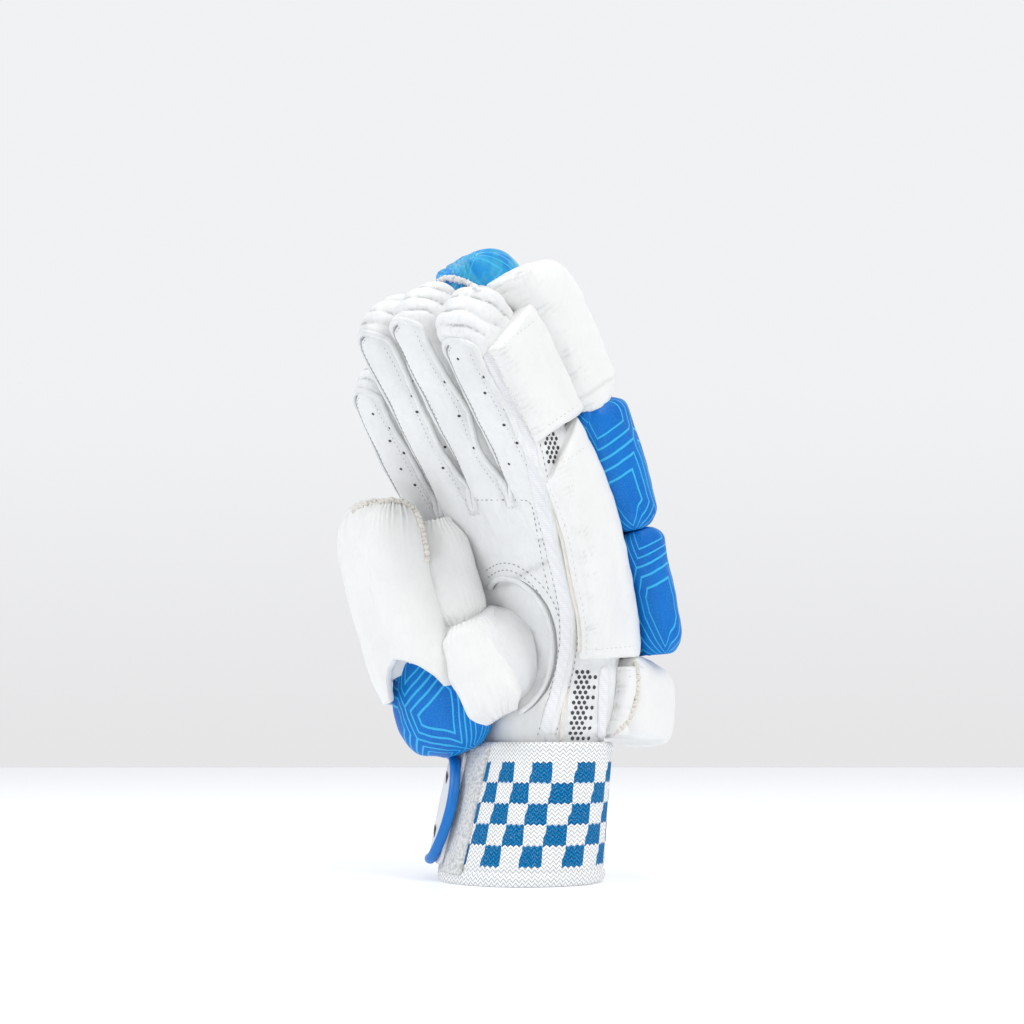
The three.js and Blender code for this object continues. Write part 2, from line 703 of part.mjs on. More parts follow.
let plate = tabForm(TAB_RIM + 2 * GAP, overStrap, TAB_THICK);
for (const share of [-0.25, 0.25]) {
  const slit = strip({
    from: TAB_ANGLE - step * 1.4,
    to: TAB_ANGLE - step * 2.6,
    offset: () => overStrap - 1,
    thick: TAB_THICK + 2,
    edges: () => [tabMiddle + TAB_HEIGHT * share - 1.5, tabMiddle + TAB_HEIGHT * share + 1.5],
  });
  plate = plate.subtract(slit);
}
addPiece("strap_tab", plate, colours.white, 0.4);

// Palm, back and thumb
const handShell = hand(0).subtract(hand(-LEATHER));
const handClear = hand(GAP);
const thumbHollow = thumb(-LEATHER);
const thumbClear = thumb(GAP);
const palmLeather = handShell.intersect(frontRegion(GAP / 2)).subtract(thumbHollow);
addPiece("palm_leather", palmLeather, colours.white, 0.6);
addPiece("hand_back", handShell.subtract(frontRegion(-GAP / 2)), colours.white, 0.7);
const thumbLeather = thumb(0).subtract(thumbHollow).subtract(handClear);
addPiece("thumb_leather", thumbLeather, colours.white, 0.6);

// Thumb armour
const thumbShell = shellForm(0)
  .subtract(thumbClear)
  .subtract(behindShell(0))
  .subtract(notch(0))
  .subtract(handClear);
addPiece("thumb_shell", thumbShell, colours.white, 0.5);

const cuffClear = cuffForm(-GAP, CUFF_HEIGHT + GAP, overStrap + TAB_RIM_THICK + GAP);
const shellCut = shellForm(GAP).subtract(behindShell(GAP)).subtract(notch(GAP));
const guardForm = (grow) =>
  pillow(GUARD_SECTIONS, GUARD_LEAN, GUARD_WIDTH, GUARD_THICK, { sides: 12, power: 2.3, grow });
const guard = guardForm(0).subtract(thumbClear).subtract(handClear).subtract(cuffClear).subtract(shellCut);
addPiece("thumb_base_guard", guard, colours.blue, 0.45);

let innerPadsBefore = guardForm(GAP);
for (const { name, lean, sections } of INNER_PADS) {
  const form = (grow) =>
    pillow(sections, lean, INNER_PAD_WIDTH, INNER_PAD_THICK, { sides: 12, power: 2.4, grow });
  const pad = form(0)
    .subtract(thumbClear)
    .subtract(handClear)
    .subtract(shellCut)
    .subtract(cuffClear)
    .subtract(innerPadsBefore);
  addPiece(name, pad, colours.white, 0.5);
  innerPadsBefore = innerPadsBefore.add(form(GAP));
}

// Rolls on the fingers and the back of the hand
const crownOver = ({ crown }) => (along) =>
  crown * PAD_CROWN * between(CROWNS, (along - spineFoot) / PALM_LENGTH, "crown");
const outerRolls = []; // with their clearance, for what lies beside them
function addRoll(name, finger, from, to, swell, colour) {
  const overhang = finger === FINGERS.at(-1) ? OUTER_OVERHANG : 0;
  const sizes = {
    from: from + PAD_SPLIT / 2,
    to: to - PAD_SPLIT / 2,
    wide: FINGER_PITCH - PAD_SPLIT + overhang,
    side: finger.place * FINGER_PITCH + overhang / 2,
    floor: backFloor(finger),
    crown: crownOver(finger),
    swell,
  };
  addPiece(name, roll(sizes).subtract(handClear), colour, 0.5);
  if (overhang) {
    outerRolls.push(roll(sizes, GAP));
  }
}
const fingerPlace = (finger, share) => lerp(webs, fingerTip(finger), share);
for (const finger of FINGERS) {
  const colour = finger === FINGERS.at(-1) ? colours.white : colours.blue;
  finger.rolls.slice(1).forEach((end, i) => {
    const [from, to] = [fingerPlace(finger, finger.rolls[i]), fingerPlace(finger, end)];
    addRoll(`${finger.name}_roll_${i + 1}`, finger, from, to, FINGER_SWELL, colour);
  });
}
for (const { name, from, to } of BACK_ROWS) {
  FINGERS.forEach((finger, i) => {
    const start = spineFoot + PALM_LENGTH * from;
    const end = Math.min(spineFoot + PALM_LENGTH * to, fingerPlace(finger, finger.rolls[0]));
    addRoll(`back_pad_${name}_${i + 1}`, finger, start, end, BACK_SWELL, colours.blue);
  });
}

// Wrist pad and the padding on the little finger's side
const wristPad = (grow) =>
  sweep(
    spine,
    rollStations({
      from: spineFoot + PALM_LENGTH * WRIST_PAD_FROM,
      to: spineFoot + PALM_LENGTH * BACK_ROWS[0].from - PAD_SPLIT / 2,
      wide: WRIST_PAD_WIDTH,
      side: WRIST_SIDE,
      floor: () => PALM_DEPTH * 0.2,
      crown: crownOver(FINGERS.at(-1)),
      swell: FINGER_SWELL,
    }),
    { sides: 16, power: 2.8, grow },
  );
addPiece("wrist_pad", wristPad(0).subtract(handClear), colours.white, 0.5);

const palmRows = palmStations();
const tubeRows = fingerStations(FINGERS.at(-1));
function handSide(along) {
  const palm = along < palmRows.at(-1).along ? between(palmRows, along, "wide") + between(palmRows, along, "side") : 0;
  const tube = along > tubeRows[0].along ? between(tubeRows, along, "wide") + FINGER_PITCH * FINGERS.at(-1).place : 0;
  return Math.max(palm, tube);
}
const besideSide = outerRolls.reduce((form, other) => form.add(other), wristPad(GAP));
for (const { name, from, to, low, high, slant } of SIDE_PADS) {
  const stations = [0, 0.06, 0.2, 0.5, 0.8, 0.94, 1].map((share) => {
    const along = spineFoot + PALM_LENGTH * lerp(from, to, share);
    const edge = Math.min(1, Math.min(share, 1 - share) / 0.2);
    const size = lerp(0.6, 1, Math.sqrt(1 - (1 - edge) ** 2));
    return {
      along,
      wide: (SIDE_THICK / 2) * size,
      deep: (PALM_DEPTH * (high - low) * lerp(0.92, 1, size)) / 2,
      side: handSide(along) + SIDE_PROUD - SIDE_THICK / 2,
      rise: (PALM_DEPTH * (high + low)) / 2,
      slant: PALM_DEPTH * slant * share,
    };
  });
  const form = sweep(spine, stations, { sides: 12, power: 3.4 });
  addPiece(name, form.subtract(handClear).subtract(besideSide), colours.white, 0.5);
}

// The floor is at Z = 0, and the middle of the glove's outline is over the origin.
const outline = new THREE.Box3().setFromObject(glove);
const middle = outline.getCenter(vector(0, 0, 0));
glove.position.set(-middle.x, -middle.y, -outline.min.z);

export default glove;
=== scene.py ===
# A left-hand cricket batting glove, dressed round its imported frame. The numbers of shape are millimetres in the
# glove's own space, as in the solids, and SHIFT and MM bring them to the frame's metres.
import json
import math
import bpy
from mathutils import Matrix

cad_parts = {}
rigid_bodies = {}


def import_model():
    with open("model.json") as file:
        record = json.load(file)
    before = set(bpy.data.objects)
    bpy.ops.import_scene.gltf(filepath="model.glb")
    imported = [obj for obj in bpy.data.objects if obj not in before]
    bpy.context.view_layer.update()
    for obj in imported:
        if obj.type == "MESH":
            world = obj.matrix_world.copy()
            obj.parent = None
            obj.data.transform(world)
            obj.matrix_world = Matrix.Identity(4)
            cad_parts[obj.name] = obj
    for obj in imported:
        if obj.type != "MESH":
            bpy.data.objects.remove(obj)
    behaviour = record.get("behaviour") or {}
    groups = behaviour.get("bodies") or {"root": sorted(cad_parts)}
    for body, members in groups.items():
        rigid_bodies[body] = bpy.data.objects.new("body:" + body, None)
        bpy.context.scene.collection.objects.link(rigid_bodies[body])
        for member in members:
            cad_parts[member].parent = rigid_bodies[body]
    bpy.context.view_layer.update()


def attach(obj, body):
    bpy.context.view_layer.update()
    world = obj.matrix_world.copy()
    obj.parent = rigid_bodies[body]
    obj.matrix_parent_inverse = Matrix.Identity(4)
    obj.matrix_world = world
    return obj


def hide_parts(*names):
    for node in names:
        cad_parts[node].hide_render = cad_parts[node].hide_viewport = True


bl_info = {
    "name": "Cricket batting glove",
    "version": (1, 0, 0),
    "blender": (4, 5, 0),
    "location": "View3D > Sidebar > Glove",
    "description": "Dresses the glove's frame with leather, padding, knit and stitching",
    "category": "Object",
}

from collections import namedtuple

import bpy
import numpy as np
from mathutils import Vector
from mathutils.bvhtree import BVHTree

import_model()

MM = 0.001
SHIFT = np.array([-0.622, 7.652, 0.0])  # from the middle of the cuff's mouth to the frame's origin

# Sizes that the solids share
CUFF_HEIGHT = 57.6
CUFF_LAP = 4
MOUTH = (71, 69)
WRIST = (73, 53)
WRIST_SIDE = 2
WRIST_BACK = 8
KNIT = 3
REACH = 188
CURL = 79
PALM_LENGTH = 118
PALM_WIDTH = 98
PALM_DEPTH = 34
FINGER_LENGTH = 93
FINGER_PITCH = 24.5
FINGER_WIDTH = 23
FINGER_FRONT = 17
FINGER_BACK = 17
FINGER_ROOT = 22
TIP_ROUND = 13
PAD_CROWN = 46
PAD_SPLIT = 0.9
OUTER_OVERHANG = 8
SEAT_GAP = 0.6
THUMB_LEAN = 5
THUMB_WIDE, THUMB_DEEP = 13.5, 13
SHELL_WIDE, SHELL_DEEP, SHELL_UNDER = 22.5, 20, 9
SHELL_VALLEY = 4.4
GUARD_WIDE = 46
INNER_LOWER_WIDE, INNER_UPPER_WIDE = 28, 33
THUMB_PAD_THICK = 20
SIDE_PROUD, SIDE_THICK = 5, 12
PANEL_HALF = 8.9
SKIN = 1.3
SKIN_CELL = 0.95
PALM_THINNED, BACK_THINNED = 0.6, 0.5
FOOT = CUFF_HEIGHT - CUFF_LAP

# The hand's spine, as shares of REACH and CURL
SPINE = [
    (-0.06, 0.101), (0, 0.101), (0.05, 0.105), (0.133, 0.145), (0.266, 0.127), (0.399, 0.013), (0.505, -0.089),
    (0.596, -0.203), (0.718, -0.39), (0.83, -0.57), (0.947, -0.785), (1, -0.89), (1.06, -1.015),
]

# The palm's sections: share of its length, of its width and of its depth, and how square they are
PALM_SECTIONS = [
    (0.09, 0.76, 1.42, 2.1), (0.22, 0.81, 1.18, 2.3), (0.42, 0.89, 1.03, 2.7), (0.62, 0.96, 0.98, 3),
    (0.84, 1, 0.9, 3.2), (0.99, 0.995, 0.78, 3.2), (1.05, 0.97, 0.58, 3.2), (1.08, 0.9, 0.1, 3.2),
]

# A finger's place is in pitches across the palm. Its reach, the end of its palm panel, and its rolls' crown and
# ends are shares
Finger = namedtuple("Finger", "name place reach panel crown ends")
FINGERS = [
    Finger("index", -1.5, 0.75, 0.9, 0.9, (0.04, 0.36, 0.66, 0.92)),
    Finger("middle", -0.5, 1, 0.93, 0.98, (0.04, 0.36, 0.66, 0.92)),
    Finger("ring", 0.5, 1, 0.93, 1.14, (0.04, 0.36, 0.66, 0.97)),
    Finger("little", 1.5, 0.92, 0.84, 1, (0.08, 0.22, 0.98)),
]
CROWNS = [(0.15, 1.1), (0.28, 1.03), (0.33, 0.8), (0.72, 0.9), (1, 1), (1.25, 1.08), (1.5, 1.1), (1.8, 1)]
BACK_ROWS = [("lower", 0.33, 0.73), ("upper", 0.73, 1.13)]

# The photograph's camera, in the frame's metres
CAMERA_PLACE = (0.48708, -0.4068, 0.0606)
CAMERA_AZIMUTH = 50
CAMERA_PITCH = 8.6
FOCAL_PIXELS = 1472
FRAME_PIXELS = 1024


def unit(v):
    return v / np.maximum(np.linalg.norm(v, axis=-1, keepdims=True), 1e-9)


def smooth(xs, ys, x):
    """Values at x on a smooth curve through the points, which doesn't overshoot them."""
    xs, ys = np.array(xs, float), np.array(ys, float)
    h = np.diff(xs)
    d = np.diff(ys) / h
    m = np.zeros_like(ys)
    for i in range(1, len(xs) - 1):
        if d[i - 1] * d[i] > 0:
            w1, w2 = 2 * h[i] + h[i - 1], h[i] + 2 * h[i - 1]
            m[i] = (w1 + w2) / (w1 / d[i - 1] + w2 / d[i])
    m[0], m[-1] = d[0], d[-1]
    x = np.clip(x, xs[0], xs[-1])
    k = np.clip(np.searchsorted(xs, x, side="right") - 1, 0, len(xs) - 2)
    t = (x - xs[k]) / h[k]
    a, b = 2 * t**3 - 3 * t**2 + 1, t**3 - 2 * t**2 + t
    return a * ys[k] + b * h[k] * m[k] + (1 - a) * ys[k + 1] + (t**3 - t**2) * h[k] * m[k + 1]


class Line:
    """A curve through points, with its length and frames, whose through points to the back or the nail."""

    def __init__(self, points, level):
        p = np.array(points, float)
        p = np.vstack([2 * p[0] - p[1], p, 2 * p[-1] - p[-2]])
        dense, steps = [], 40
        for a, b, c, d in zip(p, p[1:], p[2:], p[3:]):
            t0, t1, t2 = (np.linalg.norm(v) ** 0.5 for v in (b - a, c - b, d - c))
            m1 = ((b - a) / t0 - (c - a) / (t0 + t1) + (c - b) / t1) * t1
            m2 = ((c - b) / t1 - (d - b) / (t1 + t2) + (d - c) / t2) * t1
            t = np.linspace(0, 1, steps, endpoint=False)[:, None]
            curve = (2 * t**3 - 3 * t**2 + 1) * b + (t**3 - 2 * t**2 + t) * m1
            dense.append(curve + (3 * t**2 - 2 * t**3) * c + (t**3 - t**2) * m2)
        self.points = np.vstack(dense + [p[-2:-1]])
        self.at = np.concatenate([[0], np.cumsum(np.linalg.norm(np.diff(self.points, axis=0), axis=1))])
        self.length = self.at[-1]
        self.knots = self.at[::steps]
        self.level = np.array(level, float)
        self.tangents = unit(np.gradient(self.points, self.at, axis=0))

    def frame(self, along):
        along = np.asarray(along, float)
        inside = np.clip(along, 0, self.length)
        centre = np.stack([np.interp(inside, self.at, self.points[:, k]) for k in range(3)], -1)
        tangent = unit(np.stack([np.interp(inside, self.at, self.tangents[:, k]) for k in range(3)], -1))
        through = unit(np.cross(tangent, self.level))
        across = unit(np.cross(through, tangent))
        return centre + tangent * (along - inside)[..., None], tangent, across, through


SPINE_START = WRIST_BACK - CURL * SPINE[1][1]
spine = Line([(0, SPINE_START + CURL * back, FOOT + REACH * up) for up, back in SPINE], (1, 0, 0))
SPINE_FOOT = float(np.interp(FOOT, spine.points[:, 2], spine.at))
WEBS = SPINE_FOOT + PALM_LENGTH


def finger_tip(finger):
    return WEBS + FINGER_LENGTH * finger.reach


def finger_place(finger, share):
    """A place along the spine, as a share of the way from the webs to a fingertip."""
    return WEBS + (finger_tip(finger) - WEBS) * share


def facing(lean):
    return (-math.cos(math.radians(lean)), math.sin(math.radians(lean)), 0)


def thumb_place(side, out, up):
    return (PALM_WIDTH * side, PALM_DEPTH * out, FOOT + PALM_LENGTH * up)


def waves(points, size, seed):
    """Soft noise between about -1 and 1: a few sine waves of the given size in mixed directions."""
    draw = np.random.default_rng(seed)
    total = np.zeros(points.shape[:-1])
    for _ in range(7):
        way = unit(draw.normal(size=3)) * (2 * math.pi / size) * draw.uniform(0.6, 1.5)
        total += np.sin(points @ way + draw.uniform(0, 2 * math.pi))
    return total / 3.2


def oval(line, along, wide, deep, under=None, side=0, rise=0, slant=0, power=2.6, sides=64):
    """Rings round a line, one for each station, with the first point repeated at the end of each."""
    along = np.asarray(along, float)
    full = lambda v: np.broadcast_to(np.asarray(v, float), along.shape)[:, None]
    wide, deep, side, rise, slant, power = (full(v) for v in (wide, deep, side, rise, slant, power))
    under = deep if under is None else full(under)
    angle = np.linspace(0, 2 * math.pi, sides + 1)[None, :] - math.pi / 2
    c, s = np.cos(angle), np.sin(angle)
    x = np.sign(c) * np.abs(c) ** (2 / power) * wide
    y = np.sign(s) * np.abs(s) ** (2 / power) * np.where(s > 0, deep, under)
    centre, tangent, across, through = (v[:, None, :] for v in line.frame(along))
    lean = tangent * (slant * y / np.maximum(deep, 1e-6))[..., None]
    return centre + across * (x + side)[..., None] + through * (y + rise)[..., None] + lean


def outward(points):
    """Unit normals of a tube's points, pointing away from its middle."""
    body = points[:, :-1]
    around = np.roll(body, -1, axis=1) - np.roll(body, 1, axis=1)
    along = np.gradient(body, axis=0)
    normal = unit(np.cross(around, along))
    middle = body.mean(axis=1, keepdims=True)
    inner = slice(len(body) // 4, max(len(body) // 4 + 1, 3 * len(body) // 4))
    if np.sum(normal[inner] * (body - middle)[inner]) < 0:
        normal = -normal
    return np.concatenate([normal, normal[:, :1]], axis=1)


def closed(points, inset=0.35):
    """A tube with its ends drawn in to a point, over a soft shoulder."""
    def end(ring, beyond):
        middle = ring[:-1].mean(axis=0)
        way = middle - beyond[:-1].mean(axis=0)
        return [middle + (ring - middle) * k + way * inset * (1 - k) for k in (0.85, 0.55, 0.25, 0)]
    return np.concatenate([end(points[0], points[1])[::-1], points, end(points[-1], points[-2])], axis=0)


def start_modelling():
    """Object mode, with nothing selected."""
    if bpy.context.object and bpy.context.object.mode != "OBJECT":
        bpy.ops.object.mode_set(mode="OBJECT")
    bpy.ops.object.select_all(action="DESELECT")


def in_edit_mode(piece, *steps):
    """Runs edit-mode operators on the whole of a piece."""
    start_modelling()
    piece.select_set(True)
    bpy.context.view_layer.objects.active = piece
    bpy.ops.object.mode_set(mode="EDIT")
    bpy.ops.mesh.select_all(action="SELECT")
    for operator, settings in steps:
        operator(**settings)
    bpy.ops.object.mode_set(mode="OBJECT")


def add_modifier(piece, kind, **settings):
    """Adds a modifier and applies it."""
    start_modelling()
    piece.select_set(True)
    bpy.context.view_layer.objects.active = piece
    modifier = piece.modifiers.new(kind.title(), kind)
    for name, value in settings.items():
        setattr(modifier, name, value)
    bpy.ops.object.modifier_apply(modifier=modifier.name)


def smooth_faces(piece):
    start_modelling()
    piece.select_set(True)
    bpy.context.view_layer.objects.active = piece
    bpy.ops.object.shade_smooth()


def set_points(piece, points):
    piece.data.vertices.foreach_set("co", np.asarray(points, np.float32).ravel())
    piece.data.update()


def get_points(piece):
    points = np.zeros(len(piece.data.vertices) * 3)
    piece.data.vertices.foreach_get("co", points)
    return points.reshape(-1, 3)


def sheet_of(name, points, weld=True, width=None, length=None):
    """A grid primitive shaped to rows of points in millimetres. Its UV map is in metres of width and length."""
    rows, columns = points.shape[:2]
    start_modelling()
    bpy.ops.mesh.primitive_grid_add(x_subdivisions=columns - 1, y_subdivisions=rows - 1, size=2)
    piece = bpy.context.object
    piece.name = name
    piece.data.name = name
    flat = get_points(piece)
    column = np.rint((flat[:, 0] + 1) / 2 * (columns - 1)).astype(int)
    row = np.rint((flat[:, 1] + 1) / 2 * (rows - 1)).astype(int)
    set_points(piece, (points[row, column] + SHIFT) * MM)
    uv = piece.data.uv_layers[0]
    uv.name = "Surface"
    flat_uv = np.zeros(len(uv.data) * 2)
    uv.data.foreach_get("uv", flat_uv)
    across = np.linalg.norm(np.diff(points, axis=1), axis=2).sum(axis=1).max() if width is None else width
    down = np.linalg.norm(np.diff(points, axis=0), axis=2).sum(axis=0).max() if length is None else length
    uv.data.foreach_set("uv", (flat_uv.reshape(-1, 2) * [across * MM, down * MM]).ravel())
    if weld:
        in_edit_mode(
            piece,
            (bpy.ops.mesh.remove_doubles, {"threshold": 1e-6}),
            (bpy.ops.mesh.normals_make_consistent, {"inside": False}),
        )
    smooth_faces(piece)
    return piece


def dress(piece, finish, stands_for=()):
    """Gives a piece its material and its body, and hides the nodes that it stands for."""
    piece.data.materials.clear()
    piece.data.materials.append(finish)
    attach(piece, "root")
    if stands_for:
        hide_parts(*stands_for)
    return piece


# Placing by the photograph

def tree_of(*pieces):
    """A search tree over the faces of some pieces, in the frame's metres."""
    points, faces = [], []
    for piece in pieces:
        first = len(points)
        points += [tuple(v.co) for v in piece.data.vertices]
        faces += [[first + i for i in p.vertices] for p in piece.data.polygons]
    return BVHTree.FromPolygons(points, faces)


def camera_axes():
    azimuth, pitch = math.radians(CAMERA_AZIMUTH), math.radians(CAMERA_PITCH)
    right = np.array([math.cos(azimuth), math.sin(azimuth), 0])
    level = np.array([-math.sin(azimuth), math.cos(azimuth), 0])
    forward = level * math.cos(pitch) + np.array([0, 0, math.sin(pitch)])
    return right, forward, np.cross(right, forward)


def seen_at(tree, pixels, lift=0.0):
    """Points of a surface that the photograph's camera sees at pixels, lifted off it, and its normals."""
    right, forward, up = camera_axes()
    points, normals = [], []
    for x, y in pixels:
        half = FRAME_PIXELS / 2
        way = Vector(forward + right * (x - half) / FOCAL_PIXELS - up * (y - half) / FOCAL_PIXELS).normalized()
        hit, normal, _, _ = tree.ray_cast(Vector(CAMERA_PLACE), way)
        if hit is None:
            continue
        if normal.dot(way) > 0:
            normal = -normal
        points.append(np.array(hit + normal * lift * MM) / MM - SHIFT)
        normals.append(np.array(normal))
    return np.array(points), np.array(normals)


def traced(tree, pixels, lift, step=2.0, ease=2, shift=0):
    """A path on a surface through the photograph's pixels, and its normals."""
    dense = even([(x + shift, y, 0) for x, y in pixels], step, ease)[:, :2]
    path, normals = seen_at(tree, dense, lift)
    if len(path) < 6:
        raise RuntimeError("a traced path misses its surface")
    return path, normals


def laid_on(tree, points, ways, lift=0.0):
    """Points of a surface met by casting from points along ways, and its normals there."""
    found, normals = [], []
    for point, way in zip(points, ways):
        way = Vector(way).normalized()
        hit, normal, _, _ = tree.ray_cast(Vector((point + SHIFT) * MM), way)
        if hit is None:
            continue
        if normal.dot(way) > 0:
            normal = -normal
        found.append(np.array(hit + normal * lift * MM) / MM - SHIFT)
        normals.append(np.array(normal))
    return np.array(found), np.array(normals)


def even(path, step, ease=2, *others):
    """A path again with points a step apart, on a softened curve, and other rows that go with it."""
    path = np.asarray(path, float)
    at = np.concatenate([[0], np.cumsum(np.linalg.norm(np.diff(path, axis=0), axis=1))])
    wanted = np.linspace(0, at[-1], max(4, int(round(at[-1] / step)) + 1))
    rows = [np.stack([np.interp(wanted, at, r[:, k]) for k in range(3)], -1) for r in (path, *others)]
    for _ in range(ease):
        for r in rows:
            r[1:-1] = (r[:-2] + 2 * r[1:-1] + r[2:]) / 4
    return rows if others else rows[0]


# Thin parts that follow a path

def cord_points(path, radius, sides=10, flat=1.0, normals=None, taper=True):
    """Rings round a path. flat squeezes them along the normals."""
    path = np.asarray(path, float)
    tangent = unit(np.gradient(path, axis=0))
    if normals is None:
        normals = np.tile([0.13, -0.21, 1.0], (len(path), 1))
    side = unit(np.cross(tangent, normals))
    out = unit(np.cross(side, tangent))
    angle = np.linspace(0, 2 * math.pi, sides + 1)
    share = np.ones(len(path))
    if taper:
        share[[0, -1]] = 0.02
        share[[1, -2]] = 0.75
    size = (np.broadcast_to(radius, len(path)) * share)[:, None, None]
    ring = np.cos(angle)[None, :, None] * side[:, None] + flat * np.sin(angle)[None, :, None] * out[:, None]
    return path[:, None] + ring * size


def copies(name, patterns):
    """One piece of many small copies: each pattern is (vertices, faces) in millimetres."""
    vertices, faces = [], []
    for points, quads in patterns:
        first = len(vertices)
        vertices += [tuple(p) for p in (np.asarray(points) + SHIFT) * MM]
        faces += [[first + i for i in quad] for quad in quads]
    mesh = bpy.data.meshes.new(name)
    mesh.from_pydata(vertices, [], faces)
    piece = bpy.data.objects.new(name, mesh)
    bpy.context.collection.objects.link(piece)
    smooth_faces(piece)
    return piece


def bead():
    """A small ball with a few dozen faces, as arrays, of radius 1."""
    start_modelling()
    bpy.ops.mesh.primitive_uv_sphere_add(segments=8, ring_count=5, radius=1)
    ball = bpy.context.object
    points = get_points(ball)
    faces = [tuple(p.vertices) for p in ball.data.polygons]
    bpy.data.objects.remove(ball)
    return points, faces


def stitches(name, rows, pitch=2.6, length=1.7, radius=0.28, sink=0.1):
    """Short threads along paths: rows hold (points, normals)."""
    ball, faces = bead()
    threads = []
    for points, normals in rows:
        if len(points) < 3:
            continue
        points, normals = even(points, pitch, 1, normals)
        tangents = unit(np.gradient(points, axis=0))
        for centre, normal, tangent in zip(points, normals, tangents):
            side = unit(np.cross(tangent, normal))
            out = np.cross(side, tangent)
            axes = np.stack([tangent * length / 2, side * radius, out * radius])
            threads.append((centre - normal * sink + ball @ axes, faces))
    return copies(name, threads)


# Materials

class Value:
    """A material node's socket that takes part in Python arithmetic."""

    def __init__(self, finish, socket):
        self.finish, self.socket = finish, socket

    def math(self, operation, *others):
        return self.finish.node("ShaderNodeMath", {"operation": operation}, [self, *others])

    def __add__(self, other):
        return self.math("ADD", other)

    def __sub__(self, other):
        return self.math("SUBTRACT", other)

    def __rsub__(self, other):
        return self.finish.node("ShaderNodeMath", {"operation": "SUBTRACT"}, [other, self])

    def __mul__(self, other):
        return self.math("MULTIPLY", other)

    def __truediv__(self, other):
        return self.math("DIVIDE", other)

    def __lt__(self, other):
        return self.math("LESS_THAN", other)

    def __gt__(self, other):
        return self.math("GREATER_THAN", other)

    def __mod__(self, other):
        return self.math("FLOORED_MODULO", other)

    __radd__ = __add__
    __rmul__ = __mul__

    def over(self, low, high):
        """0 below low and 1 above high, with a soft step between."""
        sockets = {"Value": self, "From Min": low, "From Max": high}
        return self.finish.node("ShaderNodeMapRange", {"interpolation_type": "SMOOTHSTEP"}, sockets)


class Finish:
    """One procedural material on a principled shader."""

    def __init__(self, name):
        self.material = bpy.data.materials.new(name)
        self.material.use_nodes = True
        self.nodes = self.material.node_tree.nodes
        self.links = self.material.node_tree.links
        self.shader = self.nodes["Principled BSDF"]
        self.place = self.node("ShaderNodeTexCoord", {}, {}, "Object")

    def node(self, kind, settings, sockets, out=0):
        made = self.nodes.new(kind)
        for name, value in settings.items():
            setattr(made, name, value)
        for name, value in sockets.items() if isinstance(sockets, dict) else enumerate(sockets):
            self.fill(made.inputs[name], value)
        return Value(self, made.outputs[out])

    def fill(self, socket, value):
        if isinstance(value, Value):
            self.links.new(value.socket, socket)
        else:
            socket.default_value = value

    def set(self, **sockets):
        for name, value in sockets.items():
            self.fill(self.shader.inputs[name.replace("_", " ").title().replace("Ior", "IOR")], value)

    def mixed(self, share, first, second):
        made = self.nodes.new("ShaderNodeMix")
        made.data_type = "RGBA"
        for socket, value in ((made.inputs[0], share), (made.inputs[6], first), (made.inputs[7], second)):
            self.fill(socket, value)
        return Value(self, made.outputs[2])

    def noise(self, size, detail=4, rough=0.55, place=None, out=0):
        """Noise whose blobs are about size millimetres."""
        sockets = {"Vector": place or self.place, "Scale": 1000 / size, "Detail": detail, "Roughness": rough}
        return self.node("ShaderNodeTexNoise", {}, sockets, out)

    def cells(self, size, feature="F1", place=None, random=1, settings=None):
        options = {"feature": feature, **(settings or {})}
        sockets = {"Vector": place or self.place, "Scale": 1000 / size, "Randomness": random}
        return self.node("ShaderNodeTexVoronoi", options, sockets)

    def surface(self):
        """The piece's own map, in metres: its u, its v and both."""
        both = self.node("ShaderNodeUVMap", {"uv_map": "Surface"}, {})
        u = self.node("ShaderNodeSeparateXYZ", {}, [both], "X")
        return u, Value(self, u.socket.node.outputs["Y"]), both

    def bumped(self, *layers):
        """Bump from (height, depth in millimetres, strength) layers."""
        normal = None
        for height, depth, strength in layers:
            sockets = {"Height": height, "Distance": depth * MM, "Strength": strength}
            if normal is not None:
                sockets["Normal"] = normal
            normal = self.node("ShaderNodeBump", {}, sockets)
        self.set(normal=normal)
        return self.material


def rgb(value, share=1.0):
    return tuple(channel * share for channel in value[:3]) + (1,)


def leather(name, colour, shade, roughness, grain, creases):
    """Soft white leather: fine pores, faint creases with painted shade along them, and slow changes of tone."""
    finish = Finish(name)
    slow = finish.noise(38, 3)
    pores = finish.cells(grain, "SMOOTH_F1")
    fine = finish.noise(grain * 0.6, 3)
    stretched = finish.node(
        "ShaderNodeMapping", {}, {"Vector": finish.place, "Scale": (1, 1, 0.45), "Rotation": (0.5, 0.2, 0.4)}
    )
    folds = finish.noise(5.5, 5, 0.65, stretched)
    line = folds.math("SUBTRACT", 0.5).math("ABSOLUTE", 0).over(0.0, 0.045)
    tone = finish.mixed(slow.over(0.3, 0.75), rgb(colour), rgb(shade))
    # Painted shade along the fine crease lines
    tone = finish.mixed((1 - line) * creases * 0.35, tone, rgb(shade, 0.88))
    # Strong painted shade where the crease attribute marks the fingertip folds, the palm's creases and the
    # pressed gathers
    pressed = finish.node("ShaderNodeAttribute", {"attribute_name": "crease"}, {}, "Fac")
    tone = finish.mixed(pressed * 0.75, tone, rgb(shade, 0.42))
    finish.set(base_color=tone, roughness=roughness + 0.1 * fine)
    finish.set(sheen_weight=0.12, sheen_roughness=0.5, specular_ior_level=0.4)
    return finish.bumped((slow, 0.5, 0.2), (line, 0.12, creases), (pores + 0.5 * fine, 0.09, 0.35))


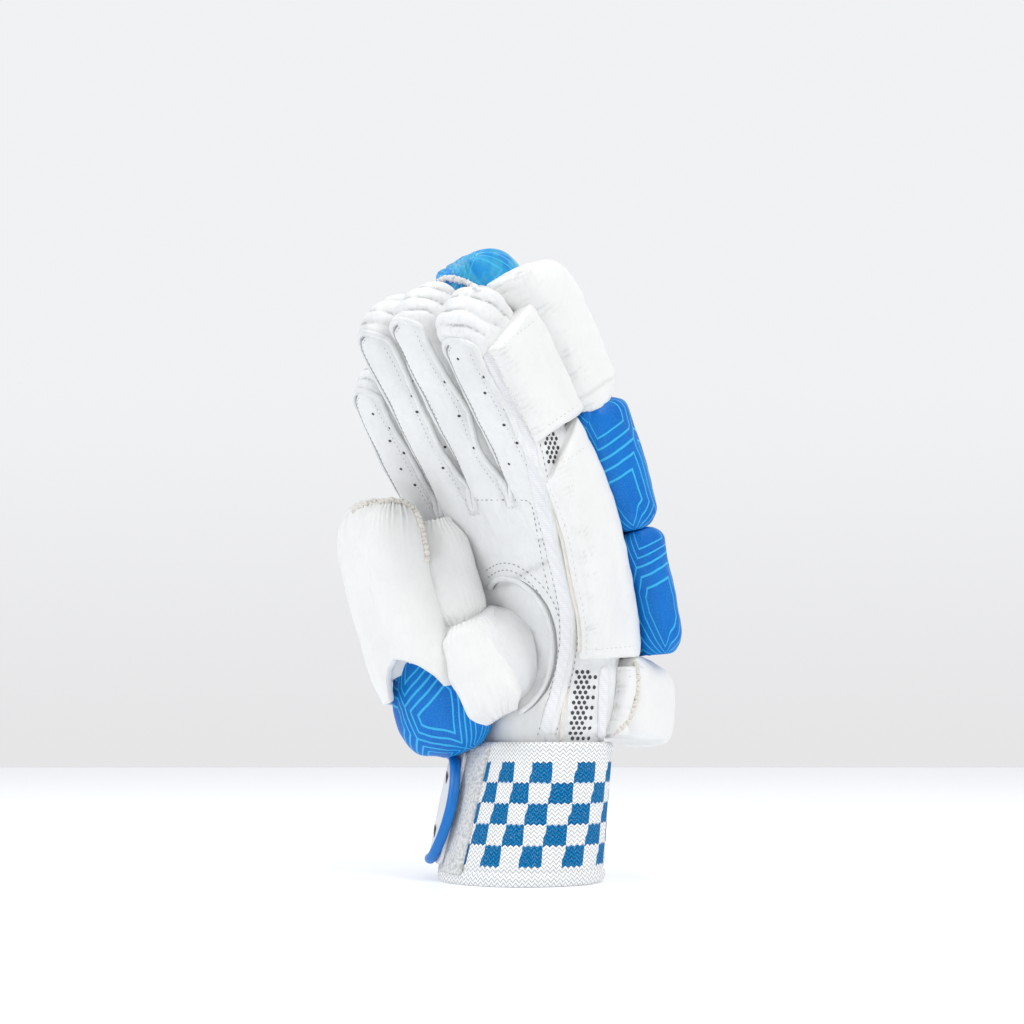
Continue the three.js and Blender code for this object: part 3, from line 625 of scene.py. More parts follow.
def printed_leather(name, blue, deep, thread, sheen=0.0, seed=0.0, cell=27):
    """Blue coated leather with a print of thin angular lines, and lines beside them, over a speckled grain."""
    finish = Finish(name)
    sockets = {"Vector": finish.surface()[2], "Location": (seed, seed * 0.7, 0), "Scale": (1, 0.62, 1)}
    moved = finish.node("ShaderNodeMapping", {}, sockets)
    edge = finish.cells(cell, "DISTANCE_TO_EDGE", moved, 0.85, {"voronoi_dimensions": "2D"})
    fine = 27 / cell
    lines = (edge < 0.012 * fine) + (edge > 0.1) * (edge < 0.1 + 0.022 * fine)
    inner = (edge > 0.22) * (edge < 0.22 + 0.022 * fine)
    lines = (lines + inner).math("MINIMUM", 1)
    speckle = finish.noise(0.55, 2)
    slow = finish.noise(24, 3)
    tone = finish.mixed(slow.over(0.3, 0.72), rgb(blue), rgb(deep))
    tone = finish.mixed(speckle.over(0.42, 0.75) * 0.3, tone, rgb(thread, 0.75))
    if sheen:
        # Painted sheen: soft patches of the light line colour, standing in for highlights on the glossy roll
        painted_sheen = finish.noise(11, 4, 0.6).over(0.44, 0.62)
        tone = finish.mixed(painted_sheen * sheen, tone, rgb(thread, 0.8))
    finish.set(base_color=finish.mixed(lines * 0.85, tone, rgb(thread)))
    finish.set(roughness=(0.27 if sheen else 0.4) + 0.14 * speckle)
    finish.set(coat_weight=0.5 if sheen else 0.03, coat_roughness=0.2, specular_ior_level=0.22)
    return finish.bumped((speckle, 0.06, 0.35), (lines, 0.05, 0.3))


def knit(name, white, blue, square, lean, rows):
    """White knit with a band of blue squares in check, and slanting stitches all over."""
    finish = Finish(name)
    u, v, _ = finish.surface()
    stitch = 0.0026
    column = u / stitch
    zigzag = ((column % 1) - 0.5).math("ABSOLUTE", 0) * 2
    course = (v / (stitch * 0.66) + zigzag * 0.9) % 1
    loop = (course - 0.5).math("ABSOLUTE", 0) * 2
    wobble = finish.noise(7, 2) - 0.5
    shifted = u + v * math.tan(math.radians(lean)) + 0.0009 * (zigzag - 0.5) + 0.001 * wobble
    across, up = shifted / square, (v - rows[0]) / (square * 0.915) + 0.1 * (zigzag - 0.5) + 0.06 * wobble
    parity = (across.math("FLOOR", 0) + up.math("FLOOR", 0)) % 2
    band = (up > 0) * (up < rows[1])
    mask = (parity > 0.5) * band
    hairs = finish.noise(0.5, 2)
    # Painted shade in the gaps between the knitted loops, on the white and on the blue; the tops of the blue
    # loops are painted lighter
    pale = finish.mixed(loop.over(0.5, 0.95) * (0.35 + hairs), rgb(white), rgb(white, 0.42))
    strong = finish.mixed(loop.over(0.3, 0.95) * (0.4 + hairs), rgb(blue, 1.3), rgb(blue, 0.28))
    strong = finish.mixed((hairs > 0.6) * 0.12, strong, rgb(white))
    finish.set(base_color=finish.mixed(mask, pale, strong), roughness=0.92)
    finish.set(sheen_weight=0.04, sheen_roughness=0.6, specular_ior_level=0.1)
    ridge = 1 - loop
    return finish.bumped((ridge + 0.25 * (1 - zigzag), 0.5, 0.5), (hairs, 0.15, 0.4))


def woven(name, colour, shade, pitch, roughness=0.85, fuzz=0.3):
    """Plain woven tape or mesh yarn."""
    finish = Finish(name)
    weave = finish.node("ShaderNodeTexWave", {"wave_type": "BANDS", "bands_direction": "DIAGONAL"},
                        {"Vector": finish.place, "Scale": 90 / pitch, "Distortion": 1.2, "Detail": 2})
    cross = finish.node("ShaderNodeTexWave", {"wave_type": "BANDS", "bands_direction": "Z"},
                        {"Vector": finish.place, "Scale": 260 / pitch, "Distortion": 0.6})
    hairs = finish.noise(0.7, 3)
    weave, cross = (finish.node("ShaderNodeSeparateColor", {}, [colours]) for colours in (weave, cross))
    weft = weave * cross
    tone = finish.mixed(weft.over(0, 0.7) * 0.8, rgb(shade), rgb(colour))
    finish.set(base_color=tone, roughness=roughness)
    finish.set(sheen_weight=fuzz, sheen_roughness=0.5, specular_ior_level=0.2)
    return finish.bumped((weft, 0.25, 0.5), (hairs, 0.15, 0.4))


def loops(name, colour):
    """Fuzzy loop pile."""
    finish = Finish(name)
    tufts = finish.cells(1.1, "SMOOTH_F1")
    hairs = finish.noise(0.35, 4, 0.7)
    tone = finish.mixed(tufts.over(0.1, 0.75), rgb(colour), rgb(colour, 0.62))
    finish.set(base_color=tone, roughness=1.0, sheen_weight=0.6, sheen_roughness=0.7, specular_ior_level=0.1)
    return finish.bumped((1 - tufts, 0.7, 0.8), (hairs, 0.3, 0.6))


def moulded(name, colour, roughness):
    """Smooth moulded rubber or plastic with fine grain and handling marks."""
    finish = Finish(name)
    slow = finish.noise(9, 3)
    fine = finish.noise(0.5, 2)
    tone = finish.mixed(slow.over(0.35, 0.8) * 0.5, rgb(colour), rgb(colour, 0.82))
    finish.set(base_color=tone, roughness=roughness + 0.12 * slow, specular_ior_level=0.5)
    return finish.bumped((fine, 0.03, 0.3))


def thread(name, colour):
    finish = Finish(name)
    twist = finish.noise(0.45, 2)
    finish.set(base_color=finish.mixed(twist.over(0.35, 0.7), rgb(colour), rgb(colour, 0.7)), roughness=0.7)
    return finish.bumped((twist, 0.1, 0.5))


# What a user would change

def colour_prop(name, value, text):
    return bpy.props.FloatVectorProperty(
        name=name, subtype="COLOR", size=3, min=0, max=1, default=value, description=text)


class GLOVE_PG_looks(bpy.types.PropertyGroup):
    """Colours and small sizes of the glove's dress."""

    pad_white: colour_prop("Pad white", (0.88, 0.875, 0.86), "Smooth leather over the padding")
    palm_white: colour_prop("Palm white", (0.85, 0.852, 0.85), "Fine leather of the palm and fingers")
    print_blue: colour_prop("Roll blue", (0.0, 0.165, 0.61), "Blue of the printed rolls")
    deep_blue: colour_prop("Deep blue", (0.0, 0.12, 0.52), "Shade of the printed rolls")
    line_blue: colour_prop("Line blue", (0.05, 0.52, 0.84), "Thin printed lines")
    knit_blue: colour_prop("Check blue", (0.0, 0.165, 0.41), "Squares of the knitted cuff")
    rubber_blue: colour_prop("Tab blue", (0.0, 0.18, 0.6), "Rim of the strap's tab")
    cream: colour_prop("Piping cream", (0.8, 0.76, 0.69), "Rolled edges, piping and thread")
    check: bpy.props.FloatProperty(
        name="Check size", default=0.0091, min=0.003, max=0.02, unit="LENGTH",
        description="Side of a square on the cuff")
    check_lean: bpy.props.FloatProperty(
        name="Check lean", default=-9, min=-30, max=30,
        description="Degrees by which the columns of squares lean")
    stitch_pitch: bpy.props.FloatProperty(
        name="Stitch pitch", default=2.6, min=1.2, max=6, description="Millimetres from one stitch to the next")


FINISHES = {}


def make_finishes(looks):
    """All materials, by the name of what they cover."""
    white, palm, cream = looks.pad_white, looks.palm_white, looks.cream
    blue, deep, line = looks.print_blue, looks.deep_blue, looks.line_blue
    FINISHES.update(
        pad=leather("pad_leather", white, rgb(white, 0.95), 0.38, 0.7, 0.3),
        palm=leather("palm_leather", palm, rgb(palm, 0.92), 0.5, 0.6, 0.45),
        tip=leather("fingertip_leather", rgb(palm, 1.02), rgb(palm, 0.9), 0.46, 0.6, 0.6),
        print=printed_leather("printed_blue", blue, deep, line, 0.0, 0.02),
        sheen=printed_leather("glossy_blue", (0.0, 0.3, 0.72), (0.0, 0.15, 0.6), line, 0.9, 0.13),
        fine_print=printed_leather("guard_blue", blue, deep, line, 0.0, 0.31, 19),
        knit=knit("checked_knit", (1.0, 1.0, 1.0), looks.knit_blue, looks.check, looks.check_lean, (0.0078, 5)),
        webbing=woven("white_webbing", (0.93, 0.93, 0.93), (0.82, 0.82, 0.84), 0.7),
        piping=woven("cream_piping", rgb(cream, 1.12), rgb(cream, 0.98), 0.7, 0.75),
        loops=loops("loop_pile", (0.84, 0.84, 0.82)),
        rim=moulded("blue_rubber", looks.rubber_blue, 0.32),
        plate=moulded("white_moulded", (0.8, 0.8, 0.81), 0.4),
        thread=thread("cream_thread", rgb(cream, 1.02)),
        # Dark grey cords and stitches: painted shadow in the panel grooves and round the thumb's root, and
        # stitches coloured dark as painted shade of their stitch lines
        shadow_thread=thread("grey_thread", (0.36, 0.36, 0.37)),
        hole=moulded("dark_hole", (0.07, 0.07, 0.075), 0.9),
    )


# The hand

def palm_tube():
    along = [SPINE_FOOT - 3, SPINE_FOOT, SPINE_FOOT + CUFF_LAP + 1.2]
    wide, deep, power = [WRIST[0] / 2 - KNIT - 0.6] * 3, [WRIST[1] / 2 - KNIT - 0.6] * 3, [2.0] * 3
    for share, w, d, square in PALM_SECTIONS:
        along.append(SPINE_FOOT + PALM_LENGTH * share)
        wide.append(PALM_WIDTH / 2 * w)
        deep.append(PALM_DEPTH / 2 * d)
        power.append(square)
    rows = np.linspace(along[0], along[-1], 110)
    side = WRIST_SIDE * np.clip(1 - 2 * (rows - SPINE_FOOT) / PALM_LENGTH, 0, 1)
    size = [smooth(along, v, rows) for v in (wide, deep, power)]
    return closed(oval(spine, rows, size[0], size[1], side=side, power=size[2], sides=120), 0.1)


def finger_tube(finger):
    """A finger from inside the palm to its tip, with faint waves in its leather; the folds past the palm panel
    come later, from tip_folds.
    """
    start, tip = WEBS - FINGER_ROOT, finger_tip(finger)
    rows = np.concatenate([np.linspace(start, tip - TIP_ROUND, 110)[:-1],
                           tip - TIP_ROUND + TIP_ROUND * np.sin(np.linspace(0, 1.5, 26))])
    share = (rows - start) / (tip - TIP_ROUND - start)
    cap = np.sqrt(np.clip(1 - np.clip((rows - tip + TIP_ROUND) / TIP_ROUND, 0, 1) ** 2, 0, 1))
    wide = FINGER_WIDTH / 2 * smooth((0, 0.3, 0.78, 1), (0.9, 1, 0.99, 0.94), share) * cap
    front = FINGER_FRONT * smooth((0, 0.3, 0.78, 1), (0.9, 1, 1, 0.9), share) * cap
    back = FINGER_BACK * smooth((0, 0.3, 0.78, 1), (0.84, 0.9, 1, 0.98), share) * cap
    points = oval(spine, rows, wide, back, front, finger.place * FINGER_PITCH, power=2.8, sides=72)
    normals = outward(points)
    lift = 0.25 * waves(points, 13, 5)
    return closed(points + normals * lift[..., None], 0.3)


def tip_folds(points, along, across, through):
    """Bands of leather over each fingertip, along tilted planes: how far to lift, and how much painted shade to
    lay in their creases.
    """
    lift, crease = np.zeros(len(points)), np.zeros(len(points))
    for finger in FINGERS:
        middle = finger.place * FINGER_PITCH
        end = finger_place(finger, finger.panel)
        level = 0.62 * (along - end) + 0.78 * (through + FINGER_FRONT - 0.5)
        away = (across - middle) / 12
        phase = level / 6.6 + 0.2 * away**2 + 0.1 * away + 0.16 * waves(points, 20, len(finger.name))
        wave = np.abs(np.sin(math.pi * phase))
        on = np.clip(level / 1.5, 0, 1) * np.clip((13 - np.abs(across - middle)) / 2, 0, 1)
        on = on * np.clip((along - end + 8) / 4, 0, 1)
        lift += on * (1.5 * wave**0.45 - 1.25 + 0.35 * np.sin(phase * 2.1))
        # Painted shade in the bottoms of the folds
        crease += on * np.exp(-((wave / 0.2) ** 2)) * np.clip(0.55 + 0.9 * waves(points, 9, 31), 0.1, 1)
    return lift, np.clip(crease, 0, 1)


def on_spine(points):
    """Place along the spine, across it and through it of points in the glove's own millimetres."""
    along = np.empty(len(points))
    for first in range(0, len(points), 4000):
        part = points[first : first + 4000]
        gaps = ((part[:, None, 1:] - spine.points[None, :, 1:]) ** 2).sum(axis=2)
        along[first : first + 4000] = spine.at[gaps.argmin(axis=1)]
    centre, _, across, through = spine.frame(along)
    away = points - centre
    return along, (away * across).sum(axis=1), (away * through).sum(axis=1)


def palm_edge(along):
    """How far across the palm's leather reaches, on the little finger's side and on the thumb's."""
    share = (along - SPINE_FOOT) / PALM_LENGTH
    little = PALM_WIDTH / 2 * smooth((0, 0.1, 0.3, 0.6, 1, 1.2), (0.5, 0.52, 0.62, 0.8, 0.93, 0.95), share)
    return little, PALM_WIDTH / 2 * smooth((0, 0.1, 0.3, 0.6, 1), (0.7, 0.72, 0.8, 0.88, 0.95), share)


def panel_outline(finger, inset=0.0):
    """Across and along of a finger's palm panel: up its thumb side, over its round end and down again."""
    middle = finger.place * FINGER_PITCH
    half = PANEL_HALF - inset
    top = finger_place(finger, finger.panel) - inset
    foot = WEBS - 5
    straight = np.linspace(foot, top - half, 40)
    bend = np.linspace(0, math.pi, 17)[1:-1]
    sway = 0.5 * np.sin(straight / 9.0 + finger.place * 2)
    spread = (FINGER_PITCH / 2 - 0.9 - inset - half) * np.clip(1 - (straight - foot) / 34, 0, 1) ** 1.6
    left, right = middle - half + sway - spread, middle + half + sway + spread
    across = np.concatenate([left, middle - half * np.cos(bend), right[::-1]])
    along = np.concatenate([straight, top - half + half * np.sin(bend), straight[::-1]])
    return across, along


def from_palm_side(tree, across, along, lift=0.0):
    """Points on the palm side of the hand."""
    centre, _, sideways, through = spine.frame(along)
    start = centre + sideways * np.asarray(across)[:, None] - through * 70
    return laid_on(tree, start, through, lift)


HAND = {}


def build_hand():
    start_modelling()
    tubes = [sheet_of("palm_form", palm_tube())]
    tubes += [sheet_of(f"{finger.name}_form", finger_tube(finger)) for finger in FINGERS]
    start_modelling()
    for tube in tubes:
        tube.select_set(True)
    bpy.context.view_layer.objects.active = tubes[0]
    bpy.ops.object.join()
    hand = bpy.context.object
    hand.data.remesh_voxel_size = SKIN_CELL * MM
    bpy.ops.object.voxel_remesh()
    in_edit_mode(hand, (bpy.ops.mesh.vertices_smooth, {"factor": 0.5, "repeat": 1}))
    points = get_points(hand) / MM - SHIFT
    along, across, through = on_spine(points)
    # The leather isn't quite even, and it creases where the palm bends
    normals = np.array([v.normal for v in hand.data.vertices])
    palm = np.clip((-through - 4) / 8, 0, 1)
    share = (along - SPINE_FOOT) / PALM_LENGTH
    crease = np.exp(-((share - 0.66 - 0.0016 * across + 0.012 * waves(points, 30, 8)) / 0.012) ** 2)
    crease += 0.6 * np.exp(-((share - 0.5 + 0.002 * across) / 0.011) ** 2) * (across < 18)
    lift = 0.28 * waves(points, 24, 11) + 0.1 * waves(points, 8, 12) - 0.55 * palm * crease
    folds, tip_fold_shade = tip_folds(points, along, across, through)
    lift = lift + folds
    set_points(hand, (points + normals * lift[:, None] + SHIFT) * MM)
    # The crease attribute holds painted shade for the fingertip folds and the palm's creases
    marks = hand.data.attributes.new("crease", "FLOAT", "POINT")
    marks.data.foreach_set("value", np.clip(tip_fold_shade + 0.35 * palm * crease, 0, 1).astype(np.float32))
    HAND["tree"] = tree_of(hand)
    HAND["form"] = hand


def kept_faces(source, name, keep, share):
    """A copy of a piece with only the faces that keep marks, thinned out to a share of them, as a wall."""
    start_modelling()
    source.select_set(True)
    bpy.context.view_layer.objects.active = source
    bpy.ops.object.duplicate()
    piece = bpy.context.object
    piece.name = name
    piece.data.name = name
    bpy.ops.object.mode_set(mode="EDIT")
    bpy.ops.mesh.select_mode(type="FACE")
    bpy.ops.mesh.select_all(action="DESELECT")
    bpy.ops.object.mode_set(mode="OBJECT")
    piece.data.polygons.foreach_set("select", ~keep)
    bpy.ops.object.mode_set(mode="EDIT")
    bpy.ops.mesh.delete(type="FACE")
    bpy.ops.mesh.select_mode(type="VERT")
    bpy.ops.object.mode_set(mode="OBJECT")
    add_modifier(piece, "DECIMATE", ratio=share)
    add_modifier(piece, "SOLIDIFY", thickness=SKIN * MM, offset=-1, use_even_offset=False)
    smooth_faces(piece)
    return piece


def split_hand():
    """Palm leather in front, and the back of the hand with the fingers' sides and tips."""
    hand = HAND["form"]
    centres = np.array([p.center for p in hand.data.polygons]) / MM - SHIFT
    along, across, through = on_spine(centres)
    little, thumb = palm_edge(along)
    front = through < -2
    keep = front & (across < little) & (across > -thumb) & (along < WEBS - 6)
    for finger in FINGERS:
        middle = finger.place * FINGER_PITCH
        top = finger_place(finger, finger.panel)
        end = np.hypot(across - middle, np.maximum(along - (top - PANEL_HALF), 0)) < PANEL_HALF
        near = np.abs(across - middle) < PANEL_HALF
        keep |= front & near & end & (along >= WEBS - 6.5) & (along < top)
    above = centres[:, 2] > FOOT + 0.4
    palm = kept_faces(hand, "palm_leather_skin", keep & above, PALM_THINNED)
    back = kept_faces(hand, "hand_back_skin", ~keep & above, BACK_THINNED)
    dress(palm, FINISHES["palm"], ["palm_leather"])
    dress(back, FINISHES["tip"], ["hand_back"])
    bpy.data.objects.remove(hand)


# Vent holes of the fingers, at the photograph's pixels
VENTS = [
    (373, 414), (390, 428), (390, 441), (404, 453), (401, 469), (415, 485), (412, 381), (412, 396), (417, 412),
    (430, 411), (429, 428), (445, 447), (443, 468), (443, 368), (445, 382), (459, 400), (459, 416), (475, 432),
    (474, 448), (491, 466), (458, 359), (484, 377), (485, 393), (505, 409), (504, 425), (517, 443), (509, 464),
]

# Other lines of the palm, at the photograph's pixels: the palm's patch and two rows round the thumb's root, the
# edge on the little finger's side, and the gusset's edges
PALM_STITCHING = [
    [(478, 500), (505, 500), (531, 500), (535, 520), (540, 548), (544, 570), (548, 588)],
    [(487, 570), (498, 563), (512, 563), (528, 572), (541, 584), (553, 600), (560, 620), (563, 645)],
    [
        (489, 577), (499, 570), (512, 570), (526, 579), (538, 591), (547, 606), (555, 625), (557, 650),
        (556, 668),
    ],
]
ULNAR = [
    (494, 352), (505, 374), (517, 397), (528, 420), (536, 442), (543, 475), (550, 510), (558, 545), (567, 580),
    (573, 610), (574, 640), (570, 668), (562, 700), (552, 734),
]
GUSSET_LEFT = [(568, 666), (566, 690), (563, 715), (561, 742)]
GUSSET_RIGHT = [(604, 666), (603, 690), (602, 715), (601, 742)]

# Nets of holes: first pixel, rows, holes in even and odd rows, steps between holes and rows, drift of each row
NETS = [((577, 672), 14, (3, 4), 5.4, 5.1, -0.561), ((544, 434), 7, (3, 3), 4.6, 4.6, 0.8)]


def build_palm_detail(looks):
    tree = HAND["tree"]
    rows, groove_shadows = [], []
    for finger in FINGERS:
        across, along = panel_outline(finger)
        points, normals = from_palm_side(tree, across, along, 0.35)
        points, normals = even(points, 0.9, 3, normals)
        bead_size = 1.3 + 0.07 * np.sin(np.arange(len(points)) * 0.9)
        piping = sheet_of(f"{finger.name}_panel_piping", cord_points(points, bead_size, 10, 0.8, normals))
        dress(piping, FINISHES["tip"])
        # The groove inside the piping: a dark cord on half of it, painted shadow
        across, along = panel_outline(finger, 1.9)
        points, normals = from_palm_side(tree, across, along, -0.05)
        points, normals = even(points, 0.9, 2, normals)
        half = len(points) // 2
        groove_shadows.append(cord_points(points[6:half], 0.55, 8, 0.6, normals[6:half]))
        rows.append((points[half + 3 : -7], normals[half + 3 : -7]))
        across, along = panel_outline(finger, 3.2)
        points, normals = from_palm_side(tree, across, along, 0.05)
        rows.append((points[6 : len(points) // 2], normals[6 : len(normals) // 2]))
    for finger, groove_shadow in zip(FINGERS, groove_shadows):
        line = sheet_of(f"{finger.name}_panel_groove", groove_shadow)
        dress(line, FINISHES["shadow_thread"])
    seams = stitches("panel_stitches", rows, looks.stitch_pitch * 0.8, 1.25, 0.2)
    dress(seams, FINISHES["shadow_thread"])
    # Vent holes: dark flat beads, painted shadow inside the holes
    ball, faces = bead()
    holes = []
    places, normals = seen_at(tree, VENTS)
    for place, normal in zip(places, normals):
        side = unit(np.cross(normal, [0.3, 0.2, 1.0]))
        axes = np.stack([side * 0.75, np.cross(normal, side) * 0.62, normal * 0.22])
        holes.append((place + ball @ axes, faces))
    dress(copies("vent_holes", holes), FINISHES["hole"])
    # The patch on the palm, and the rows beside the thumb's root
    rows = [traced(tree, arc, 0.12, 2.5, 3) for arc in PALM_STITCHING]
    seams = stitches("palm_stitches", rows, looks.stitch_pitch, 1.5, 0.24)
    dress(seams, FINISHES["shadow_thread"])


def seam(name, tree, pixels, radius, finish, lift=0.2, flat=0.85, shift=0):
    """A cord along a path of the photograph's pixels, on a surface."""
    path, ways = traced(tree, pixels, lift, 2.5, 5, shift)
    path, ways = even(path, 1.0, 4, ways)
    roll = sheet_of(name, cord_points(path, radius, 12, flat, ways))
    return dress(roll, FINISHES[finish])


def build_ulnar_edge(looks):
    """The webbing and the rolled seams where the palm meets the little finger's side."""
    tree = HAND["tree"]
    seam("ulnar_piping", tree, ULNAR, 1.35, "tip")
    seam("ulnar_webbing", tree, ULNAR, 3.0, "webbing", 0.1, 0.25, -7)
    rows = [traced(tree, ULNAR, 0.1, 2.5, 5, shift) for shift in (-14, 4)]
    seams = stitches("ulnar_stitches", rows, looks.stitch_pitch, 1.4, 0.2)
    dress(seams, FINISHES["shadow_thread"])
    seam("gusset_edge_left", tree, GUSSET_LEFT, 1.0, "piping")
    seam("gusset_edge_right", tree, GUSSET_RIGHT, 2.4, "webbing", 0.1, 0.5)


def build_gusset():
    """The holes of the mesh between palm and wrist wing, and of the mesh under the little finger's flap, as dark
    flat beads painting the shadow inside them.
    """
    ball, faces = bead()
    holes = []
    for (left, top), rows, columns, pitch, step, drift in NETS:
        for row in range(rows):
            odd = row % 2
            first = left + row * drift + pitch / 2 * odd
            cells = [(first + column * pitch, top + row * step) for column in range(columns[odd])]
            places, normals = seen_at(HAND["tree"], cells)
            for place, normal in zip(places, normals):
                side = unit(np.cross(normal, [0.1, 0.1, 1.0]))
                axes = np.stack([side * 0.82, np.cross(normal, side) * 0.92, normal * 0.3])
                holes.append((place + ball @ axes, faces))
    dress(copies("gusset_holes", holes), FINISHES["hole"])


# Padded forms

def gathers(share, angle, count, depth, seed, reach=0.16):
    """Pleats that fade away from a sewn end: share is the distance from the end, as a share of the piece."""
    draw = np.random.default_rng(seed)
    wander = sum(np.sin(k * angle + draw.uniform(0, 6)) for k in (2, 3, 5)) * 0.5
    pleat = np.abs(np.sin(0.5 * count * angle + wander)) ** 0.7 - 0.6
    return depth * pleat * np.exp(-((share / reach) ** 1.3))


def pad_form(line, along, sizes, seed, power, sides, pleats, dents=(0.35, 22)):
    """A closed padded form: rows of sizes with gathered ends and soft dents."""
    wide, deep, under, side, rise, slant = sizes
    points = oval(line, along, wide, deep, under, side, rise, slant, power, sides)
    normals = outward(points)
    share = np.linspace(0, 1, len(along))[:, None]
    angle = np.linspace(0, 2 * math.pi, sides + 1)[None, :] + 0 * share
    lift = dents[0] * waves(points, dents[1], seed) + 0.12 * waves(points, 6.5, seed + 1)
    lift = lift + gathers(share, angle, pleats[0], pleats[1], seed, pleats[2])
    lift = lift + gathers(1 - share, angle, pleats[0], pleats[1], seed + 7, pleats[2])
    return closed(points + normals * lift[..., None])


def crown_at(along, crown):
    places, heights = zip(*CROWNS)
    return crown * PAD_CROWN * smooth(places, heights, (along - SPINE_FOOT) / PALM_LENGTH)


def seat_at(along, finger):
    """Half depth of the hand under a roll."""
    share = (along - SPINE_FOOT) / PALM_LENGTH
    palm = PALM_DEPTH / 2 * smooth([s[0] for s in PALM_SECTIONS], [s[2] for s in PALM_SECTIONS], share)
    start, tip = WEBS - FINGER_ROOT, finger_tip(finger) - TIP_ROUND
    tube = FINGER_BACK * smooth((0, 0.3, 0.78, 1), (0.84, 0.9, 1, 0.98), (along - start) / (tip - start))
    return np.maximum(np.where(share < 1.08, palm, 0), np.where(along > start, tube, 0)) + SEAT_GAP


def roll_form(finger, low, high, bend, seed, sides, rows, pleats, lower=1.0):
    """A roll over a finger or over the back of the hand, between two places on the spine."""
    overhang = OUTER_OVERHANG * lower if finger.name == "little" else 0
    along = low + PAD_SPLIT / 2 + (high - low - PAD_SPLIT) * (0.5 - 0.5 * np.cos(np.linspace(0, math.pi, rows)))
    bend = min((high - low) * 0.45, bend)
    edge = np.clip(np.minimum(along - low - PAD_SPLIT / 2, high - PAD_SPLIT / 2 - along) / bend, 0, 1)
    full = np.sqrt(1 - (1 - edge) ** 2)
    seat = seat_at(along, finger)
    share_seat = 0.3
    height = (crown_at(along, finger.crown) - seat) * lower
    body = height * (0.3 + 0.7 * full)
    wide = (FINGER_PITCH - PAD_SPLIT + overhang) / 2 * (0.86 + 0.14 * full)
    rise = seat + body * share_seat + height * 0.2 * (1 - full)
    side = finger.place * FINGER_PITCH + overhang / 2
    sizes = (wide, body * (1 - share_seat), body * share_seat, side, rise, 0)
    return pad_form(spine, along, sizes, seed, 2.7, sides, pleats)


def build_rolls():
    """The rolls on the fingers and the two rows on the back of the hand."""
    seed = 20
    for number, finger in enumerate(FINGERS):
        outer = finger.name == "little"
        ends = finger.ends
        for i in range(len(ends) - 1):
            seed += 3
            low, high = finger_place(finger, ends[i]), finger_place(finger, ends[i + 1])
            if outer and i:
                low, high = low - 3, high - 4.5
            pleats = (26, 0.6, 0.1) if outer and i else (24, 0.5, 0.16)
            if finger.name == "ring" and i == 2:
                pleats = (17, 1.9, 0.3)
            sides, rows = 120 if outer else 84, 90 if outer and i else 48
            points = roll_form(finger, low, high, 12, seed, sides, rows, pleats, 0.62 if outer and not i else 1)
            roll = sheet_of(f"{finger.name}_roll_{i + 1}_pad", points)
            if outer and i:
                front = lambda along: seat_at(along, FINGERS[3]) + 3
                back = lambda along: crown_at(along, 1)
                press(roll, front, back, 2.6, 5, 0.35, low + 8)
            finish = "pad" if outer and i else ("sheen" if finger.name == "ring" and i == 2 else "print")
            dress(roll, FINISHES[finish], [f"{finger.name}_roll_{i + 1}"])
        for name, low, high in BACK_ROWS:
            seed += 3
            start, end = SPINE_FOOT + PALM_LENGTH * low, SPINE_FOOT + PALM_LENGTH * high
            end = min(end, finger_place(finger, ends[0])) + (11 if outer and name == "upper" else 0)
            points = roll_form(finger, start, end, 7, seed, 96, 64, (30, 0.35, 0.07))
            pad = sheet_of(f"back_pad_{name}_{number + 1}_pad", points)
            dress(pad, FINISHES["print"], [f"back_pad_{name}_{number + 1}"])


SKIRT_EDGE = [(438, 281), (446, 277), (456, 278), (466, 281), (474, 286), (480, 291)]
WRIST_EDGE = [(636, 661), (639, 680), (637, 702), (629, 722), (616, 734)]

# name, from, to, front, back, slant, in the solids' shares, and rows of faces
SIDE_PADS = [
    ("wrist_wing", 0.07, 0.3, 0.2, 0.62, 0, 40),
    ("side_panel", 0.33, 1.09, -0.38, 0.5, 0.24, 120),
    ("little_side_guard", 1.16, 1.55, -0.28, 0.66, 0.1, 80),
]


def hand_side(along):
    share = (along - SPINE_FOOT) / PALM_LENGTH
    palm = PALM_WIDTH / 2 * smooth([s[0] for s in PALM_SECTIONS], [s[1] for s in PALM_SECTIONS], share)
    palm = palm + WRIST_SIDE * np.clip(1 - 2 * share, 0, 1)
    tube = FINGER_WIDTH / 2 + 0.25 + FINGER_PITCH * 1.5
    return np.maximum(np.where(share < 1.08, palm, 0), np.where(along > WEBS - FINGER_ROOT, tube, 0))


